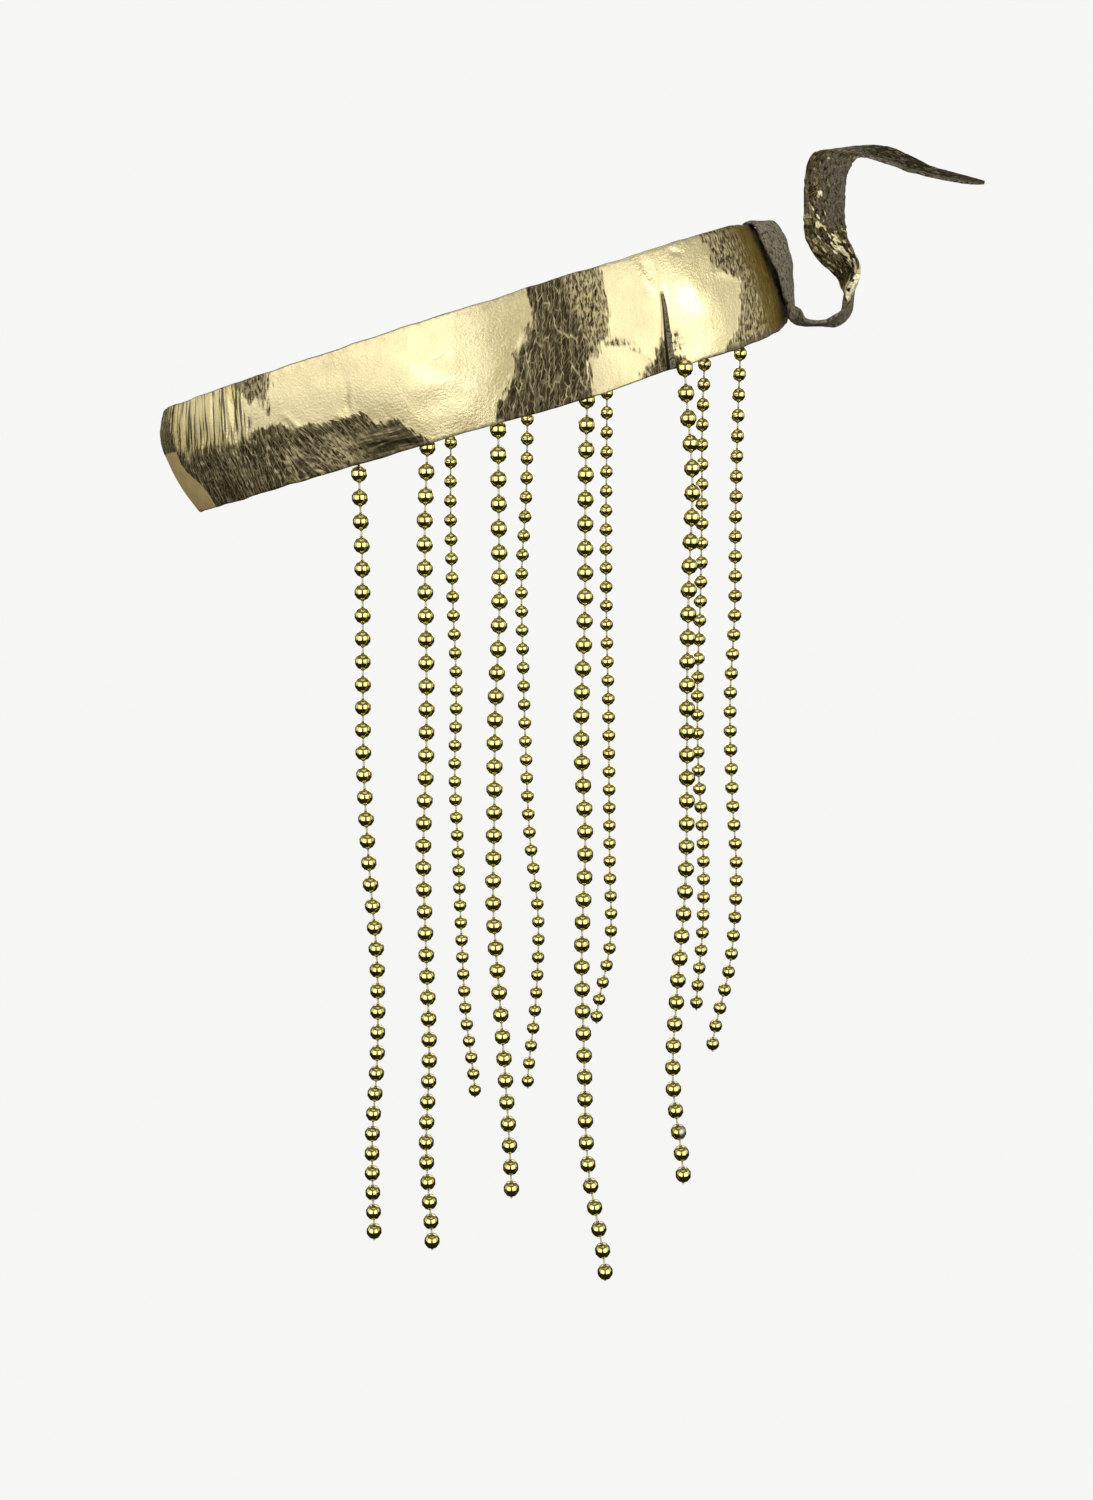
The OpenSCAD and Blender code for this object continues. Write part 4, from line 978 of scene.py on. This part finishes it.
# One bead is rubbed grey on one side: its string, and its number from the lower end
RUBBED_STRING, RUBBED_FROM_END = "near_5", 3


def string_route(string, k):
    """Places on a string at bead number k, which need not be whole. It hangs from its top bead by the
    pitch times k plus the stretch times the fourth power of the share of its length, sways sideways as its
    nine values say, and stands out at the top by its reach times a bell curve of k."""
    top_x, top_y, rise, beads, stretch, reach, sway, _, _ = STRINGS[string]
    share = ramp(k, beads - 1)
    x = top_x + open_curve(np.array(sway, float), share)
    y = top_y + reach * np.exp(-(k / 1.5) ** 2)
    z = rise + RING_SLOPE * top_x - BEAD_PITCH * k - stretch * share ** 4
    return np.stack([x, y, z], -1)


def string_frame(string, k):
    """The way along the string at bead k, and two directions square to it."""
    way = unit(string_route(string, k + 0.3) - string_route(string, k - 0.3))
    side = unit(np.cross(way, np.array([0, 1.0, 0])))
    return way, side, np.cross(way, side)


def gold_material(name, colour, shade):
    """Gilt plastic: gold that varies from bead to bead, a dull line along the moulded seam and dull
    spouts, and fine scratches."""
    material, tree, output = new_material(name)
    place = add_node(tree, "TexCoord").outputs["Object"]
    seam, tone, spout, rub = point_values(tree, ("seam", "tone", "spout", "rub")).values()
    metal_skin = blend(tree, tone, colour, shade)
    dulled = noise_between(tree, place, 500, -0.2, 0.35, 3)
    metal_skin = blend(tree, dulled, metal_skin, (0.45, 0.36, 0.06, 1))
    metal_skin = blend(tree, spout, metal_skin, (0.05, 0.042, 0.01, 1))
    metal_skin = blend(tree, times(tree, seam, 0.45), metal_skin, (0.16, 0.12, 0.02, 1))
    metal_skin = blend(tree, rub, metal_skin, (0.42, 0.40, 0.36, 1))
    rough = times_plus(tree, spout, 0.2, noise_between(tree, place, 700, 0.07, 0.13, 3))
    rough = times_plus(tree, rub, 0.4, rough)
    bumped = bump(tree, noise_between(tree, place, 900, 0, 1, 2), 0.00001, 0.3)
    surface(tree, output, {
        "Base Color": metal_skin, "Metallic": 1.0, "Roughness": rough, "Normal": bumped,
        "Specular Tint": (0.95, 0.82, 0.4, 1), "Coat Weight": 1.0, "Coat Roughness": 0.06})
    return material


gilt = gold_material("gilt_bead", (0.80, 0.71, 0.235, 1), (0.70, 0.62, 0.19, 1))

cotton, tree, output = new_material("cream_thread")
unrolled = uv_place(tree, "unrolled")
twist = add_node(tree, "TexWave", {"Vector": unrolled, "Scale": 900, "Distortion": 1.5, "Detail": 2},
                 bands_direction="DIAGONAL")
cream = blend(tree, twist.outputs["Fac"], (0.60, 0.56, 0.38, 1), (0.80, 0.77, 0.60, 1))
cream = blend(tree, noise_between(tree, unrolled, 300, -0.2, 0.5, 3), cream, (0.52, 0.47, 0.28, 1))
bumped = bump(tree, twist.outputs["Fac"], 0.0001, 0.7)
surface(tree, output, {"Base Color": cream, "Roughness": 0.75, "Normal": bumped, "Sheen Weight": 0.2})

for number, (string, row) in enumerate(STRINGS.items()):
    beads = row[3]
    k = np.arange(beads, dtype=float)
    way, side, front = string_frame(string, k)
    chance = np.random.default_rng(100 + number)
    start = chance.uniform(0, 2 * math.pi, (beads, 1, 1))
    turn = start + circle_angles(BEAD_SIDES)
    radius, rise = BEAD_OUTLINE[:, 0].reshape(1, -1, 1, 1), BEAD_OUTLINE[:, 1].reshape(1, -1, 1, 1)
    shape = (beads, len(BEAD_OUTLINE), BEAD_SIDES)
    turn = np.broadcast_to(turn, shape)[..., None]
    middle = string_route(string, k)[:, None, None]
    points = middle + way[:, None, None] * rise + radius * (
        side[:, None, None] * np.cos(turn) + front[:, None, None] * np.sin(turn))
    facing = points - middle
    tipped = np.array([1, 0, 0, 0, 0, 0, 0, 1]).reshape(1, -1, 1, 1)
    facing = unit(facing - way[:, None, None] * rise * tipped)
    one, i, j = grid_faces(len(BEAD_OUTLINE), BEAD_SIDES, True)
    one = one.reshape(-1, 4)[:, ::-1]
    faces = (np.arange(beads)[:, None, None] * len(BEAD_OUTLINE) * BEAD_SIDES + one).reshape(-1, 4)
    spout = np.array([1, 0.5, 0, 0, 0, 0, 0.5, 1])[None, :, None]
    seam = np.zeros(BEAD_SIDES)
    seam[0] = 1
    rub = np.zeros(shape)
    if string == RUBBED_STRING:
        rubbed = beads - RUBBED_FROM_END
        rub[rubbed] = np.clip((points[rubbed, ..., 0] - middle[rubbed, ..., 0]) / 0.8, 0, 0.9)
    bead_layers = {
        "seam": np.broadcast_to(seam, shape), "spout": np.broadcast_to(spout, shape), "rub": rub,
        "tone": np.broadcast_to(chance.uniform(0, 1, (beads, 1, 1)), shape)}
    add_piece("gilt_beads_" + string, points.reshape(-1, 3) * MM, faces, ["beads_" + string],
              [gilt], layers=bead_layers, normals=facing.reshape(-1, 3))

    # The thread runs through the beads, and its upper end bends into the wall of the band
    low = beads - 1 + THREAD_END
    k = np.concatenate([np.linspace(-THREAD_END, low, beads * 2), [low + 0.06]])
    line = string_route(string, k)
    entry = band_surface(np.array(row[7]), np.array(row[8]), np.array(-0.6)) / MM
    start = line[0]
    bend_share = np.linspace(0, 1, 9)[:-1, None]
    lifted = start + np.array([0, 0, max(1.5, (entry[2] - start[2]) * 0.8)])
    rising = entry * (1 - bend_share) ** 2 + 2 * lifted * bend_share * (1 - bend_share)
    rising = rising + start * bend_share ** 2
    line = np.concatenate([rising, line])
    way = unit(np.gradient(line, axis=0))
    side = unit(np.cross(way, np.array([0.1, 1.0, 0.05])))
    front = np.cross(way, side)
    turn = circle_angles(THREAD_SIDES)[None, :, None]
    thick = np.full(len(line), THREAD_RADIUS)
    thick[-1] = 0.02
    thick[-2] = THREAD_RADIUS * 1.3
    points = line[:, None] + thick[:, None, None] * (
        side[:, None] * np.cos(turn) + front[:, None] * np.sin(turn))
    faces, i, j = grid_faces(len(line), THREAD_SIDES, False)
    faces = faces.reshape(-1, 4)
    run = lengths_along(line) * MM
    round_it = np.linspace(0, 0.002, THREAD_SIDES + 1)
    uv = corner_pairs(run, round_it, i, j)
    last = (len(line) - 1) * THREAD_SIDES
    caps = np.array([[3, 2, 1, 0], [5, 4, 3, 0], [last, last + 1, last + 2, last + 3],
                     [last, last + 3, last + 4, last + 5]])
    faces = np.concatenate([faces, caps])
    uv = np.concatenate([uv.reshape(-1, 2), np.zeros((16, 2))])
    node = "thread_" + string if "thread_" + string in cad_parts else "beads_" + string
    add_piece("thread_of_" + string, points.reshape(-1, 3) * MM, faces, [node], [cotton], uv=uv)
